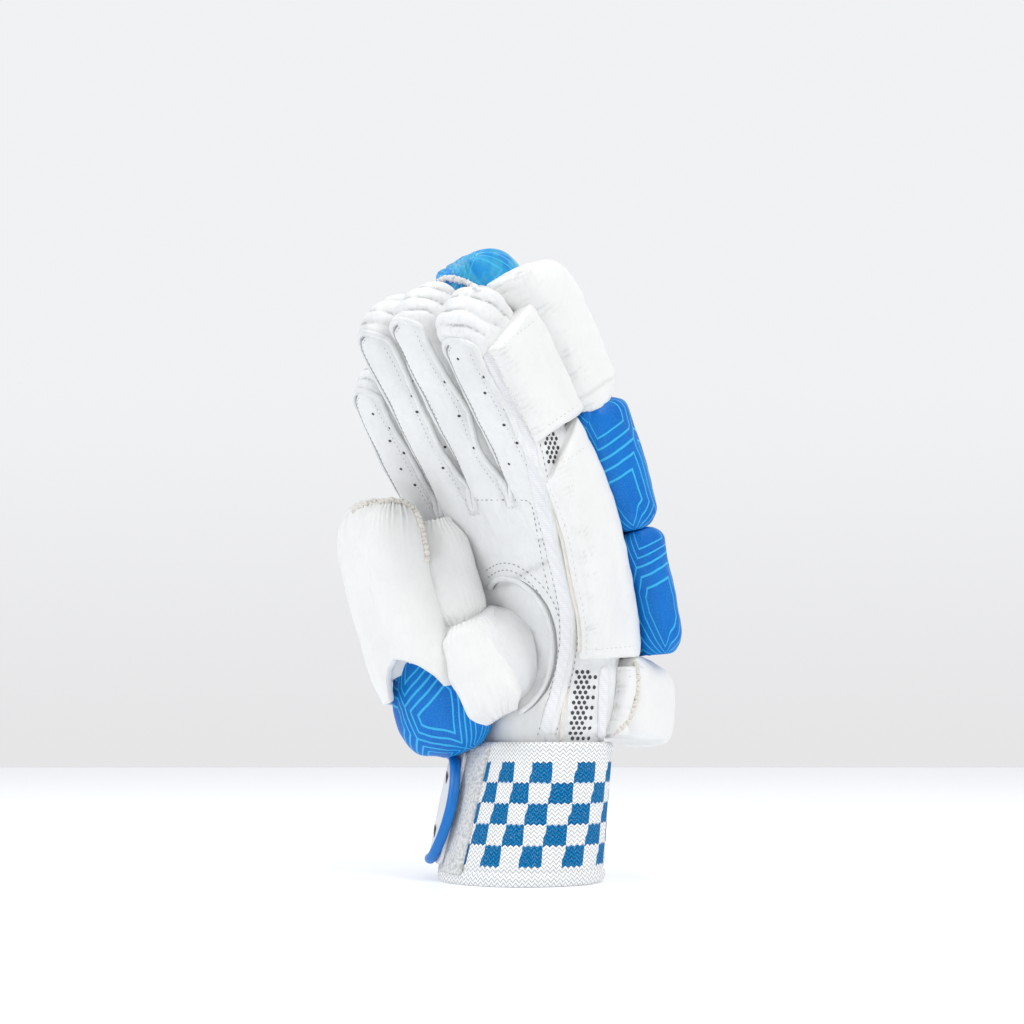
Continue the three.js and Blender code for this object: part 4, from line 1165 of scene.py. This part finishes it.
def side_form(low, high, front, back, slant, seed, rows):
    """A flat pad on the little finger's side of the hand."""
    share = 0.5 - 0.5 * np.cos(np.linspace(0, math.pi, rows))
    along = SPINE_FOOT + PALM_LENGTH * (low + (high - low) * share)
    edge = np.minimum(1, np.minimum(share, 1 - share) / 0.06)
    size = 0.62 + 0.38 * np.sqrt(1 - (1 - edge) ** 2)
    side = hand_side(along) + SIDE_PROUD - SIDE_THICK / 2
    deep = PALM_DEPTH * (back - front) / 2
    rise = PALM_DEPTH * (back + front) / 2
    sizes = (SIDE_THICK / 2 * size, deep * (0.97 + 0.03 * size), None, side, rise, PALM_DEPTH * slant * share)
    form = pad_form(spine, along, sizes, seed, 3.8, 128, (40, 0.12, 0.05), (0.3, 26))
    # A soft valley down the middle of the outer face
    ends = (len(form) - len(along)) // 2
    angle = np.linspace(0, 2 * math.pi, 129)[None, :] - math.pi / 2
    outer = np.clip(np.cos(angle) * 4 - 0.4, 0, 1)
    middle = np.exp(-((np.sin(angle) - 0.1) / 0.16) ** 2)
    inside = np.clip(share[:, None] * 6, 0, 1) * np.clip((1 - share[:, None]) * 6, 0, 1)
    lift = -0.7 * outer * (middle * inside)
    return form + outward(form) * np.pad(lift, ((ends, ends), (0, 0)))[..., None]


def build_skirt():
    """The ruffled edge of leather at the foot of the ring finger's top roll."""
    both = tree_of(*[bpy.data.objects[n] for n in ("ring_roll_3_pad", "hand_back_skin", "little_roll_2_pad")])
    path, normals = traced(both, SKIRT_EDGE, 0.2)
    frill("ring_roll_skirt", path, normals, 1.0, 15, "tip", 1.1)


def build_side_pads():
    """The wrist pad, the wing beside it, the long side panel and the flap beside the little finger."""
    start = SPINE_FOOT + PALM_LENGTH * 0.06
    end = SPINE_FOOT + PALM_LENGTH * 0.33
    along = start + (end - start) * (0.5 - 0.5 * np.cos(np.linspace(0, math.pi, 56)))
    edge = np.clip(np.minimum(along - start, end - along) / 12, 0, 1)
    full = np.sqrt(1 - (1 - edge) ** 2)
    seat = PALM_DEPTH * 0.2
    height = crown_at(along, 1) - seat
    body = height * (0.34 + 0.66 * full)
    sizes = (46 * (0.88 + 0.12 * full), body * 0.7, body * 0.3, WRIST_SIDE,
             seat + body * 0.3 + height * 0.2 * (1 - full), 0)
    points = pad_form(spine, along, sizes, 91, 2.9, 150, (60, 0.3, 0.06))
    dress(sheet_of("wrist_pad_cover", points), FINISHES["pad"], ["wrist_pad"])
    for name, low, high, front, back, slant, rows in SIDE_PADS:
        points = side_form(low, high, front, back, slant, len(name), rows)
        pad = sheet_of(f"{name}_cover", points)
        share = lambda along: ((along - SPINE_FOOT) / PALM_LENGTH - low) / (high - low)
        near = lambda along: PALM_DEPTH * (front + slant * share(along))
        far = lambda along: PALM_DEPTH * (back + slant * share(along))
        press(pad, near, far, 2.3, 3.6, 0.3)
        dress(pad, FINISHES["pad"], [name])
        HAND[name] = tree_of(pad)
        edge_work(name, low, high, front, back, slant)
    wrist = tree_of(bpy.data.objects["wrist_pad_cover"], bpy.data.objects["wrist_wing_cover"])
    path, normals = traced(wrist, WRIST_EDGE, 0.1)
    frill("wrist_gathered_seam", path, normals, 0.8, 9, ruffle=0.7)


def from_little_side(tree, through, along, lift=0.0):
    """Points on the little finger's side of a piece."""
    centre, _, sideways, deep = spine.frame(along)
    start = centre + sideways * 90 + deep * np.asarray(through)[:, None]
    return laid_on(tree, start, -sideways, lift)


def press(piece, front, back, pitch, reach, depth, foot=None):
    """Fine gathers square to a pad's long edges, pressed into it and marked for painted shade in its finish.

    front and back give the edges' places through the hand, as functions of the place along the spine. foot is
    the place of a crease across the pad.
    """
    points = get_points(piece) / MM - SHIFT
    along, _, through = on_spine(points)
    edge = np.minimum(np.abs(through - front(along)), np.abs(back(along) - through))
    phase = 2 * math.pi * along / pitch + 2.5 * waves(points, 14, 3) + 2 * np.sign(through - front(along) - 8)
    beat = np.sin(phase)
    patchy = np.clip(0.5 + waves(points, 12, 9), 0.05, 1)
    mark = np.clip((beat - 0.45) / 0.55, 0, 1) * np.exp(-((edge / reach) ** 2)) * patchy
    if foot is not None:
        line = np.exp(-(((along - foot - 0.03 * through + 0.5 * waves(points, 11, 4)) / 0.7) ** 2))
        mark = np.maximum(mark, line)
    normals = np.array([v.normal for v in piece.data.vertices])
    set_points(piece, (points - normals * (mark * depth)[:, None] + SHIFT) * MM)
    # Painted shade in the pressed gathers and the foot crease, through the crease attribute
    marks = piece.data.attributes.new("crease", "FLOAT", "POINT")
    marks.data.foreach_set("value", (0.3 * mark).astype(np.float32))


def edge_work(name, low, high, front, back, slant):
    """A rolled front edge, except on the wrist wing, and stitches along the front edge and both ends of a side
    pad's outer face.
    """
    length = PALM_LENGTH * (high - low)
    at = lambda share: SPINE_FOOT + PALM_LENGTH * (low + (high - low) * share)
    share = np.linspace(2.2 / length, 1 - 2.2 / length, 70)
    if name != "wrist_wing":
        across = hand_side(at(share)) + SIDE_PROUD - SIDE_THICK * 0.72
        points, normals = from_palm_side(HAND[name], across, at(share), 0.1)
        path, ways = even(points, 0.9, 3, normals)
        roll = sheet_of(f"{name}_piping", cord_points(path, 1.0, 10, 0.9, ways))
        dress(roll, FINISHES["piping"])
    rows = []
    across = hand_side(at(share)) + SIDE_PROUD - SIDE_THICK * 0.4
    rows.append(from_palm_side(HAND[name], across, at(share), 0.05))
    for end in (4.0 / length, 1 - 4.0 / length):
        shift = PALM_DEPTH * slant * end
        through = np.linspace(PALM_DEPTH * front + shift + 2, PALM_DEPTH * back + shift - 2, 30)
        rows.append(from_little_side(HAND[name], through, at(end) + 0 * through, 0.05))
    dress(stitches(f"{name}_stitches", rows, 2.6, 1.5, 0.2), FINISHES["thread"])


# Thumb lines and sections, in the solids' shares: side, out and up, then wide and deep
THUMB_LINE = [
    (0, 0.1, 0.35), (-0.1, -0.38, 0.33), (-0.2, -0.8, 0.385), (-0.28, -1.08, 0.52), (-0.32, -1.24, 0.68),
    (-0.325, -1.28, 0.84), (-0.31, -1.28, 0.92),
]
THUMB_SIZES = [
    (0, 1.6, 1.35), (0.07, 2.1, 1.75), (0.16, 2.3, 1.85), (0.3, 1.7, 1.4), (0.42, 1.12, 1.05),
    (0.58, 1.02, 1.02), (0.86, 0.96, 0.96),
]
SHELL = [
    (-0.215, -1.04, 0.2, 0.84, 0.84), (-0.24, -1.09, 0.3, 0.94, 0.96), (-0.3, -1.2, 0.5, 1, 1),
    (-0.335, -1.38, 0.73, 1, 1), (-0.335, -1.4, 0.83, 0.95, 0.95), (-0.33, -1.38, 0.895, 0.7, 0.72),
]
GUARD = [
    (-0.13, -0.62, 0.01, 0.5, 0.45), (-0.14, -0.72, 0.055, 0.88, 0.84), (-0.17, -0.85, 0.125, 1, 1),
    (-0.2, -0.95, 0.2, 0.94, 1), (-0.24, -1.07, 0.3, 0.62, 0.8), (-0.26, -1.12, 0.36, 0.3, 0.5),
]
INNER_LOWER = [
    (0.11, -0.57, 0.125, 0.5, 0.6), (0.09, -0.63, 0.17, 0.86, 0.9), (0.04, -0.72, 0.28, 1, 1),
    (0, -0.76, 0.4, 0.9, 0.9), (-0.02, -0.78, 0.44, 0.62, 0.6),
]
INNER_UPPER = [
    (-0.07, -0.78, 0.44, 0.5, 0.5), (-0.09, -0.8, 0.49, 0.74, 0.9), (-0.14, -0.86, 0.62, 0.78, 1),
    (-0.19, -0.9, 0.76, 0.7, 0.9), (-0.21, -0.92, 0.83, 0.42, 0.6),
]
INNER = [("thumb_inner_pad_lower", -40, INNER_LOWER), ("thumb_inner_pad_upper", -50, INNER_UPPER)]

# The arch in the shell's lower edge: how high it is, as a share of the shell, at columns of the photograph
ARCH_COLUMNS = (386, 389, 396, 401, 412, 425, 438, 447, 456)
ARCH_HEIGHTS = (0, 0, 0.15, 0.19, 0.165, 0.12, 0.06, 0, 0)

# The shell's gathered edge, and the seam round the thumb's root, at the photograph's pixels
SHELL_EDGE = [
    (352, 512), (360, 506), (372, 503), (388, 501), (402, 502), (412, 506), (418, 514), (422, 528), (425, 545),
    (427, 562),
]
THUMB_ROOT = [
    (489, 590), (493, 581), (503, 577), (518, 581), (533, 592), (544, 607), (551, 628), (553, 650), (550, 672),
    (543, 690), (532, 704), (518, 714),
]


def pillow(sections, lean, width, seed, power, rise=0.0, **looks):
    """A pad along a line of the thumb, through sections."""
    sides, rows = 150, 100
    line = Line([thumb_place(*s[:3]) for s in sections], facing(lean))
    along = line.length * (0.5 - 0.5 * np.cos(np.linspace(0, math.pi, rows)))
    wide = width / 2 * smooth(line.knots, [s[3] for s in sections], along)
    deep = THUMB_PAD_THICK / 2 * smooth(line.knots, [s[4] for s in sections], along)
    return pad_form(line, along, (wide, deep, deep, 0, rise, 0), seed, power, sides, **looks)


def photo_column(points):
    """The photograph's column at which points of the glove are seen."""
    right, ahead, _ = camera_axes()
    away = (points + SHIFT) * MM - np.array(CAMERA_PLACE)
    return FRAME_PIXELS / 2 + FOCAL_PIXELS * (away @ right) / (away @ ahead)


def thumb_shell():
    """The moulded shell over the thumb: a valley down its front, an arched lower edge and a pleated top."""
    line = Line([thumb_place(*s[:3]) for s in SHELL], facing(THUMB_LEAN))
    rows, sides = 150, 150
    along = line.length * np.linspace(0, 1, rows)
    wide = SHELL_WIDE * smooth(line.knots, [s[3] for s in SHELL], along)
    deep = SHELL_DEEP * smooth(line.knots, [s[4] for s in SHELL], along)
    top = along / line.length
    dome = np.sqrt(np.clip(1 - np.clip((top - 0.8) / 0.215, 0, 1) ** 2.2, 0, 1)) * 0.25 + 0.75
    points = oval(line, along, wide * dome, deep * dome, SHELL_UNDER * dome, power=2.7, sides=sides)
    normals = outward(points)
    share = top[:, None]
    angle = np.linspace(0, 2 * math.pi, sides + 1)[None, :] - math.pi / 2
    front = np.clip(np.sin(angle), 0, 1)
    across = np.cos(angle)
    valley = np.exp(-(((across + 0.12) / 0.17) ** 2)) * front
    valley = valley * np.clip(share * 4, 0.2, 1) * np.clip((0.93 - share) * 5, 0, 1)
    lift = -SHELL_VALLEY * valley + 0.35 * waves(points, 30, 61)
    lift = lift + gathers(1 - share, angle + 0 * share, 52, 2.1, 62, 0.13)
    points = points + normals * lift[..., None]
    # Each column starts where the lower edge is: an arch in front
    column = photo_column(points[0])
    arch = np.interp(column, ARCH_COLUMNS, ARCH_HEIGHTS)
    arch = arch * (np.sin(angle[0]) > 0)
    step = np.linspace(0, 1, rows)
    shaped = np.empty_like(points)
    for i in range(sides + 1):
        wanted = arch[i] + (1 - arch[i]) * step
        for k in range(3):
            shaped[:, i, k] = np.interp(wanted, step, points[:, i, k])
    normals = outward(shaped)
    wall = [shaped[k] - normals[k] * depth for k, depth in ((14, 3.4), (6, 3.4), (1, 3.2), (0, 2.4), (0, 1.0))]
    return closed(np.concatenate([np.array(wall), shaped[1:]], axis=0), 0.1)


def frill(name, path, normals, radius, seed, finish="piping", ruffle=0.35):
    """A gathered rolled edge along a path."""
    path, normals = even(path, 0.45, 2, normals)
    draw = np.random.default_rng(seed)
    at = np.arange(len(path)) * 0.45
    beat = np.sin(at * 2 * math.pi / 2.1 + 2 * np.sin(at * 0.4 + draw.uniform(0, 6)))
    side = unit(np.cross(unit(np.gradient(path, axis=0)), normals))
    path = path + side * (ruffle * 0.7 * beat)[:, None] + normals * (ruffle * 0.4 * np.cos(at * 2.2))[:, None]
    roll = sheet_of(name, cord_points(path, radius * (1 + ruffle * 0.5 * beat), 10, 0.9, normals))
    return dress(roll, FINISHES[finish])


def build_thumb():
    """The thumb's leather, its shell, guard and inner pads, and the seams round its root."""
    thumb_line = Line([thumb_place(*p) for p in THUMB_LINE], facing(THUMB_LEAN))
    length = thumb_line.length
    along = length * np.linspace(0, 0.985, 110)
    share = along / length
    cap = np.sqrt(np.clip(1 - np.clip((share - 0.86) / 0.126, 0, 1) ** 2, 0.0, 1))
    wide = THUMB_WIDE * smooth([s[0] for s in THUMB_SIZES], [s[1] for s in THUMB_SIZES], share) * cap
    deep = THUMB_DEEP * smooth([s[0] for s in THUMB_SIZES], [s[2] for s in THUMB_SIZES], share) * cap
    points = pad_form(thumb_line, along, (wide, deep, None, 0, 0, 0), 51, 2.2, 120, (30, 0.2, 0.05), (0.5, 17))
    thumb = sheet_of("thumb_leather_skin", points)
    dress(thumb, FINISHES["palm"], ["thumb_leather"])
    shell = sheet_of("thumb_shell_cover", thumb_shell())
    dress(shell, FINISHES["pad"], ["thumb_shell"])
    points = pillow(GUARD, -22, GUARD_WIDE, 71, 2.3, pleats=(26, 0.3, 0.07), dents=(0.25, 24))
    guard = sheet_of("thumb_base_guard_cover", points)
    dress(guard, FINISHES["fine_print"], ["thumb_base_guard"])
    for name, lean, sections in INNER:
        lower = name.endswith("lower")
        wide = INNER_LOWER_WIDE if lower else INNER_UPPER_WIDE
        rise = 3.8 if lower else 0.8
        points = pillow(sections, lean, wide, 77 + lean, 2.5, rise, pleats=(30, 1.5, 0.2), dents=(0.6, 17))
        pad = sheet_of(f"{name}_cover", points)
        dress(pad, FINISHES["pad"], [name])
    path, normals = traced(tree_of(shell), SHELL_EDGE, 0.2)
    frill("thumb_shell_edge", path, normals, 1.25, 5, ruffle=0.6)
    root = tree_of(thumb, bpy.data.objects["palm_leather_skin"])
    seam("thumb_root_piping", root, THUMB_ROOT, 1.35, "tip", 0.3)
    # A dark cord inside the piping: painted shadow of its groove
    seam("thumb_root_groove", root, THUMB_ROOT, 0.5, "shadow_thread", 0.0, 0.6, 4)


# The cuff, the strap and its tab

def cuff_place(angle, height, out):
    """A point on the cuff: degrees round from +X, height, and distance out from its outside."""
    angle = np.radians(angle)
    share = height / CUFF_HEIGHT
    x = WRIST_SIDE * share + ((MOUTH[0] + (WRIST[0] - MOUTH[0]) * share) / 2 + out) * np.cos(angle)
    y = WRIST_BACK * share + ((MOUTH[1] + (WRIST[1] - MOUTH[1]) * share) / 2 + out) * np.sin(angle)
    return np.stack([x, y, height + 0 * x], -1)


def build_cuff():
    sides, rise = 260, 70
    outside = np.linspace(0, CUFF_HEIGHT, rise)
    bend = np.linspace(0, math.pi, 9)[1:-1]
    inside = outside[::-1][::3]
    height = np.concatenate([outside, CUFF_HEIGHT - 0.9 + 0.9 * np.sin(bend), inside, 0.9 - 0.9 * np.sin(bend)])
    out = np.concatenate([0 * outside, -KNIT / 2 + KNIT / 2 * np.cos(bend), -KNIT + 0 * inside,
                          -KNIT / 2 - KNIT / 2 * np.cos(bend)])
    height[:rise] = 0.9 + (CUFF_HEIGHT - 1.8) * outside / CUFF_HEIGHT
    height[rise + 7 : rise + 7 + len(inside)] = 0.9 + (CUFF_HEIGHT - 1.8) * inside / CUFF_HEIGHT
    height, out = np.append(height, height[0]), np.append(out, out[0])
    angle = np.linspace(0, 360, sides + 1)[None, :]
    round_ = np.radians(angle)
    points = cuff_place(angle + 0 * height[:, None], height[:, None] + 0 * angle, out[:, None] + 0 * angle)
    share = height[:, None] / CUFF_HEIGHT
    sway = 0.45 * np.sin(3 * round_ + 1.2) * (1 - share) + 0.3 * np.sin(5 * round_ + 4 * share)
    rib = 0.12 * np.sin(round_ * 110)
    hem = 0.55 * np.exp(-(((height[:, None] - 3.2) / 1.6) ** 4))
    hem = hem + 0.4 * np.exp(-(((height[:, None] - 55.6) / 1.3) ** 4))
    pinch = -0.5 * np.exp(-(((height[:, None] - 5.6) / 0.5) ** 2))
    outer = (np.abs(out) < KNIT * 0.6)[:, None]
    away = cuff_place(angle, 0 * angle, 10) - cuff_place(angle, 0 * angle, 0)
    points = points + unit(away) * (sway + outer * (rib + hem + pinch))[..., None]
    points[..., 2] = np.maximum(points[..., 2], 0.0)
    cuff = sheet_of("cuff_knit", points[::-1])
    # The map's u runs round the cuff and its v is the height
    uv = cuff.data.uv_layers["Surface"].data
    around = math.pi * MOUTH[0] * MM
    for polygon in cuff.data.polygons:
        corners = [cuff.data.vertices[cuff.data.loops[i].vertex_index].co for i in polygon.loop_indices]
        turns = [math.atan2(c.y - SHIFT[1] * MM, c.x - SHIFT[0] * MM) / (2 * math.pi) for c in corners]
        turns = [t + 1 if max(turns) - t > 0.5 else t for t in turns]
        for i, corner, turn in zip(polygon.loop_indices, corners, turns):
            uv[i].uv = (turn * around, corner.z)
    dress(cuff, FINISHES["knit"], ["cuff"])


def band(name, start, end, offset, thick, low, high, power=4, steps=90, sides=40):
    """A strap round the cuff, between two angles. offset, low and high may change with the share of the way."""
    share = np.linspace(0, 1, steps)[:, None]
    value = lambda v: v(share) if callable(v) else v + 0 * share
    turn = np.linspace(0, 2 * math.pi, sides + 1)[None, :]
    c, s = np.cos(turn), np.sin(turn)
    up = np.sign(c) * np.abs(c) ** (2 / power)
    out = np.sign(s) * np.abs(s) ** (2 / power)
    middle, half = (value(low) + value(high)) / 2, (value(high) - value(low)) / 2
    angle = start + (end - start) * share + 0 * turn
    points = cuff_place(angle, middle + half * up, value(offset) + thick / 2 * (1 + out))
    return sheet_of(name, closed(points, 0.02))


TAB_ANGLE = 258
STRAP_LOW, STRAP_HIGH = 7, 53
OVER_STRAP = 3.7
TAB_TURN = 70
TAB_HALF, TAB_MIDDLE = 23, 30
TAB_BEND = 20
TAB_SLITS = (19, 41)
DEGREES = 0.62  # millimetres on the tab for one degree round the cuff


def tab_outline(inset):
    """Angles and heights of the tab's D, from its lower back corner round its front to its upper one."""
    half = TAB_HALF - inset
    front = TAB_ANGLE - inset / DEGREES
    back = TAB_ANGLE - TAB_TURN + inset / DEGREES
    bend = np.linspace(-math.pi / 2, math.pi / 2, 41)
    start = front - TAB_BEND
    angles = np.concatenate([
        np.linspace(back, start, 30)[:-1], start + TAB_BEND * np.cos(bend), np.linspace(start, back, 30)[1:],
    ])
    low, high = TAB_MIDDLE - half, TAB_MIDDLE + half
    heights = np.concatenate([np.full(29, low), TAB_MIDDLE + half * np.sin(bend), np.full(29, high)])
    return angles, heights


def build_strap():
    """The loop patch, the strap and its moulded tab."""
    fade = lambda share: 1.8 - 1.5 * np.clip((share - 0.53) * 6, 0, 1)
    patch = band("loop_patch_pile", 272, 153, 0.15, 1.35, STRAP_LOW - 3, STRAP_HIGH + 3, 8)
    dress(patch, FINISHES["loops"], ["loop_patch"])
    strap = band("wrist_strap_webbing", 249, 63, fade, 1.6, STRAP_LOW, STRAP_HIGH, 7, 130)
    dress(strap, FINISHES["webbing"], ["wrist_strap"])
    angles, heights = tab_outline(1.6)
    path = cuff_place(angles, heights, OVER_STRAP + 2.1)
    path = np.concatenate([path, path[:1]])
    path = even(path, 1.2, 2)
    away = path - cuff_place(0 * path[:, 0], path[:, 2], 0) * [0, 0, 1] - [WRIST_SIDE / 2, WRIST_BACK / 2, 0]
    rim = cord_points(path, 2.1, 14, 1.1, unit(away * [1, 1, 0]), taper=False)
    rim = sheet_of("strap_tab_rim_moulding", rim)
    dress(rim, FINISHES["rim"], ["strap_tab_rim"])
    angles, heights = tab_outline(3.4)
    turn = np.linspace(0, 1, 25)[None, :]
    half = len(angles) // 2
    low, high = heights[: half + 1], heights[::-1][: half + 1]
    rows = cuff_place(angles[: half + 1][:, None] + 0 * turn, low[:, None] + (high - low)[:, None] * turn,
                      OVER_STRAP + 1.9 + 0.5 * np.sin(math.pi * turn) + 0 * low[:, None])
    plate = sheet_of("strap_tab_plate", rows)
    add_modifier(plate, "SOLIDIFY", thickness=1.6 * MM, offset=0)
    dress(plate, FINISHES["plate"], ["strap_tab"])
    ball, faces = bead()
    # The tab's slits: dark flat beads, painted shadow inside them
    slits = []
    for height in TAB_SLITS:
        centre = cuff_place(np.array([TAB_ANGLE - 17]), height, OVER_STRAP + 2.9)[0]
        out = unit(cuff_place(np.array([TAB_ANGLE - 17]), height, OVER_STRAP + 9)[0] - centre)
        axes = np.stack([np.cross(out, [0, 0, 1]) * 0.8, np.array([0, 0, 1]) * 4.4, out * 0.5])
        slits.append((centre + ball @ axes, faces))
    dress(copies("strap_tab_slits", slits), FINISHES["hole"])


# The stage, in metres: the table's far and near edges and half width, and the wall's foot, top and half width
TABLE_EXTENT = (2.15, -1.4, 4.0)
WALL_EXTENT = (-1.5, 5, 6)
WALL_PLACE = 3.4
AIM = 0.12
AIR = 0.54

# Lamps: degrees from the camera and up, distance and size, power, colour
LAMPS = (
    ("key", (48, 46, 1.5, 0.6), 8.2, (1, 0.997, 0.99)),
    ("fill", (-66, 38, 1.6, 0.6), 7.4, (0.96, 0.98, 1)),
    ("top", (-10, 80, 1.7, 1.0), 7.5, (1, 1, 1)),
)


def build_stage():
    """A white table with a far edge, a pale wall, soft light and the photograph's camera."""
    scene = bpy.context.scene
    turn = math.radians(CAMERA_AZIMUTH)
    start_modelling()
    bpy.ops.mesh.primitive_plane_add(size=1)
    table = bpy.context.object
    table.name = "table_top"
    far, near, wide = TABLE_EXTENT
    back = np.array([-math.sin(turn), math.cos(turn)])
    right = np.array([math.cos(turn), math.sin(turn)])
    corners = [back * y + right * x for x, y in ((-wide, near), (wide, near), (-wide, far), (wide, far))]
    table.data.vertices.foreach_set("co", np.array([(*c, -0.0001) for c in corners], np.float32).ravel())
    table.data.update()
    top = Finish("table_white")
    haze = top.noise(300, 2)
    top.set(base_color=top.mixed(haze, (0.93, 0.94, 0.95, 1), (0.9, 0.91, 0.93, 1)), roughness=0.35)
    top.set(emission_color=(0.9, 0.94, 1, 1), emission_strength=0.17)
    table.data.materials.append(top.material)
    bpy.ops.mesh.primitive_plane_add(size=1)
    wall = bpy.context.object
    wall.name = "pale_wall"
    low, high, side = WALL_EXTENT
    corners = [(*(back * WALL_PLACE + right * x), z) for z in (low, high) for x in (-side, side)]
    wall.data.vertices.foreach_set("co", np.array(corners, np.float32).ravel())
    wall.data.update()
    paint = Finish("wall_grey")
    # Painted light: the wall glows instead of being lit, darker at its foot and lighter towards its top
    height = paint.node("ShaderNodeSeparateXYZ", {}, [paint.place], "Z")
    tone = paint.mixed(height.over(-0.1, 1.1), (0.79, 0.79, 0.8, 1), (0.88, 0.885, 0.905, 1))
    paint.set(base_color=(0, 0, 0, 1), emission_color=tone, emission_strength=1.0)
    paint.set(roughness=1.0, specular_ior_level=0.0)
    wall.data.materials.append(paint.material)
    world = bpy.data.worlds.new("studio_air")
    world.use_nodes = True
    world.node_tree.nodes["Background"].inputs["Color"].default_value = (0.96, 0.98, 1.0, 1)
    world.node_tree.nodes["Background"].inputs["Strength"].default_value = AIR
    scene.world = world
    for name, (azimuth, elevation, distance, size), power, colour in LAMPS:
        a, e = turn + math.radians(azimuth), math.radians(elevation)
        place = Vector((math.sin(a) * math.cos(e), -math.cos(a) * math.cos(e), math.sin(e))) * distance
        place.z += AIM
        bpy.ops.object.light_add(type="AREA", location=place)
        lamp = bpy.context.object
        lamp.name = f"{name}_light"
        lamp.data.energy = power
        lamp.data.size = size
        lamp.data.color = colour
        lamp.rotation_euler = (Vector((0, 0, AIM)) - place).to_track_quat("-Z", "Y").to_euler()
    bpy.ops.object.camera_add(location=CAMERA_PLACE)
    camera = bpy.context.object
    camera.name = "photo_camera"
    camera.rotation_euler = (math.radians(90 + CAMERA_PITCH), 0, turn)
    camera.data.sensor_width = 36
    camera.data.lens = 36 * FOCAL_PIXELS / FRAME_PIXELS
    scene.camera = camera
    scene.view_settings.view_transform = "Standard"


class GLOVE_OT_finishes(bpy.types.Operator):
    """Make the glove's materials"""

    bl_idname = "glove.finishes"
    bl_label = "Finishes"

    def execute(self, context):
        make_finishes(context.scene.glove_looks)
        return {"FINISHED"}


class GLOVE_OT_hand(bpy.types.Operator):
    """Make the palm, the fingers and the back of the hand, with panels, vents and stitches"""

    bl_idname = "glove.hand"
    bl_label = "Hand"

    def execute(self, context):
        build_hand()
        split_hand()
        build_palm_detail(context.scene.glove_looks)
        build_gusset()
        build_ulnar_edge(context.scene.glove_looks)
        return {"FINISHED"}


class GLOVE_OT_thumb(bpy.types.Operator):
    """Make the thumb, its shell, its guard and its inner pads"""

    bl_idname = "glove.thumb"
    bl_label = "Thumb"

    def execute(self, context):
        build_thumb()
        return {"FINISHED"}


class GLOVE_OT_rolls(bpy.types.Operator):
    """Make the padded rolls of the fingers and of the back of the hand"""

    bl_idname = "glove.rolls"
    bl_label = "Rolls"

    def execute(self, context):
        build_rolls()
        build_skirt()
        return {"FINISHED"}


class GLOVE_OT_side_pads(bpy.types.Operator):
    """Make the padding of the wrist and of the little finger's side"""

    bl_idname = "glove.side_pads"
    bl_label = "Side padding"

    def execute(self, context):
        build_side_pads()
        return {"FINISHED"}


class GLOVE_OT_cuff(bpy.types.Operator):
    """Knit the cuff and put on the strap"""

    bl_idname = "glove.cuff"
    bl_label = "Cuff and strap"

    def execute(self, context):
        build_cuff()
        build_strap()
        return {"FINISHED"}


class GLOVE_OT_stage(bpy.types.Operator):
    """Set the table, the wall, the lights and the camera"""

    bl_idname = "glove.stage"
    bl_label = "Stage"

    def execute(self, context):
        build_stage()
        return {"FINISHED"}


MAKERS = (
    GLOVE_OT_stage, GLOVE_OT_finishes, GLOVE_OT_hand, GLOVE_OT_thumb, GLOVE_OT_rolls, GLOVE_OT_side_pads,
    GLOVE_OT_cuff,
)


class GLOVE_PT_panel(bpy.types.Panel):
    """Lists the glove's looks and the steps that make it"""

    bl_label = "Batting glove"
    bl_idname = "GLOVE_PT_panel"
    bl_space_type = "VIEW_3D"
    bl_region_type = "UI"
    bl_category = "Glove"

    def draw(self, context):
        looks = context.scene.glove_looks
        for name in looks.__annotations__:
            self.layout.prop(looks, name)
        for maker in MAKERS:
            self.layout.operator(maker.bl_idname)


def register():
    for kind in (GLOVE_PG_looks, *MAKERS, GLOVE_PT_panel):
        bpy.utils.register_class(kind)
    bpy.types.Scene.glove_looks = bpy.props.PointerProperty(type=GLOVE_PG_looks)


def unregister():
    del bpy.types.Scene.glove_looks
    for kind in (GLOVE_PT_panel, *MAKERS[::-1], GLOVE_PG_looks):
        bpy.utils.unregister_class(kind)


def main():
    register()
    for maker in MAKERS:
        group, name = maker.bl_idname.split(".")
        getattr(getattr(bpy.ops, group), name)()


if __name__ == "__main__":
    main()
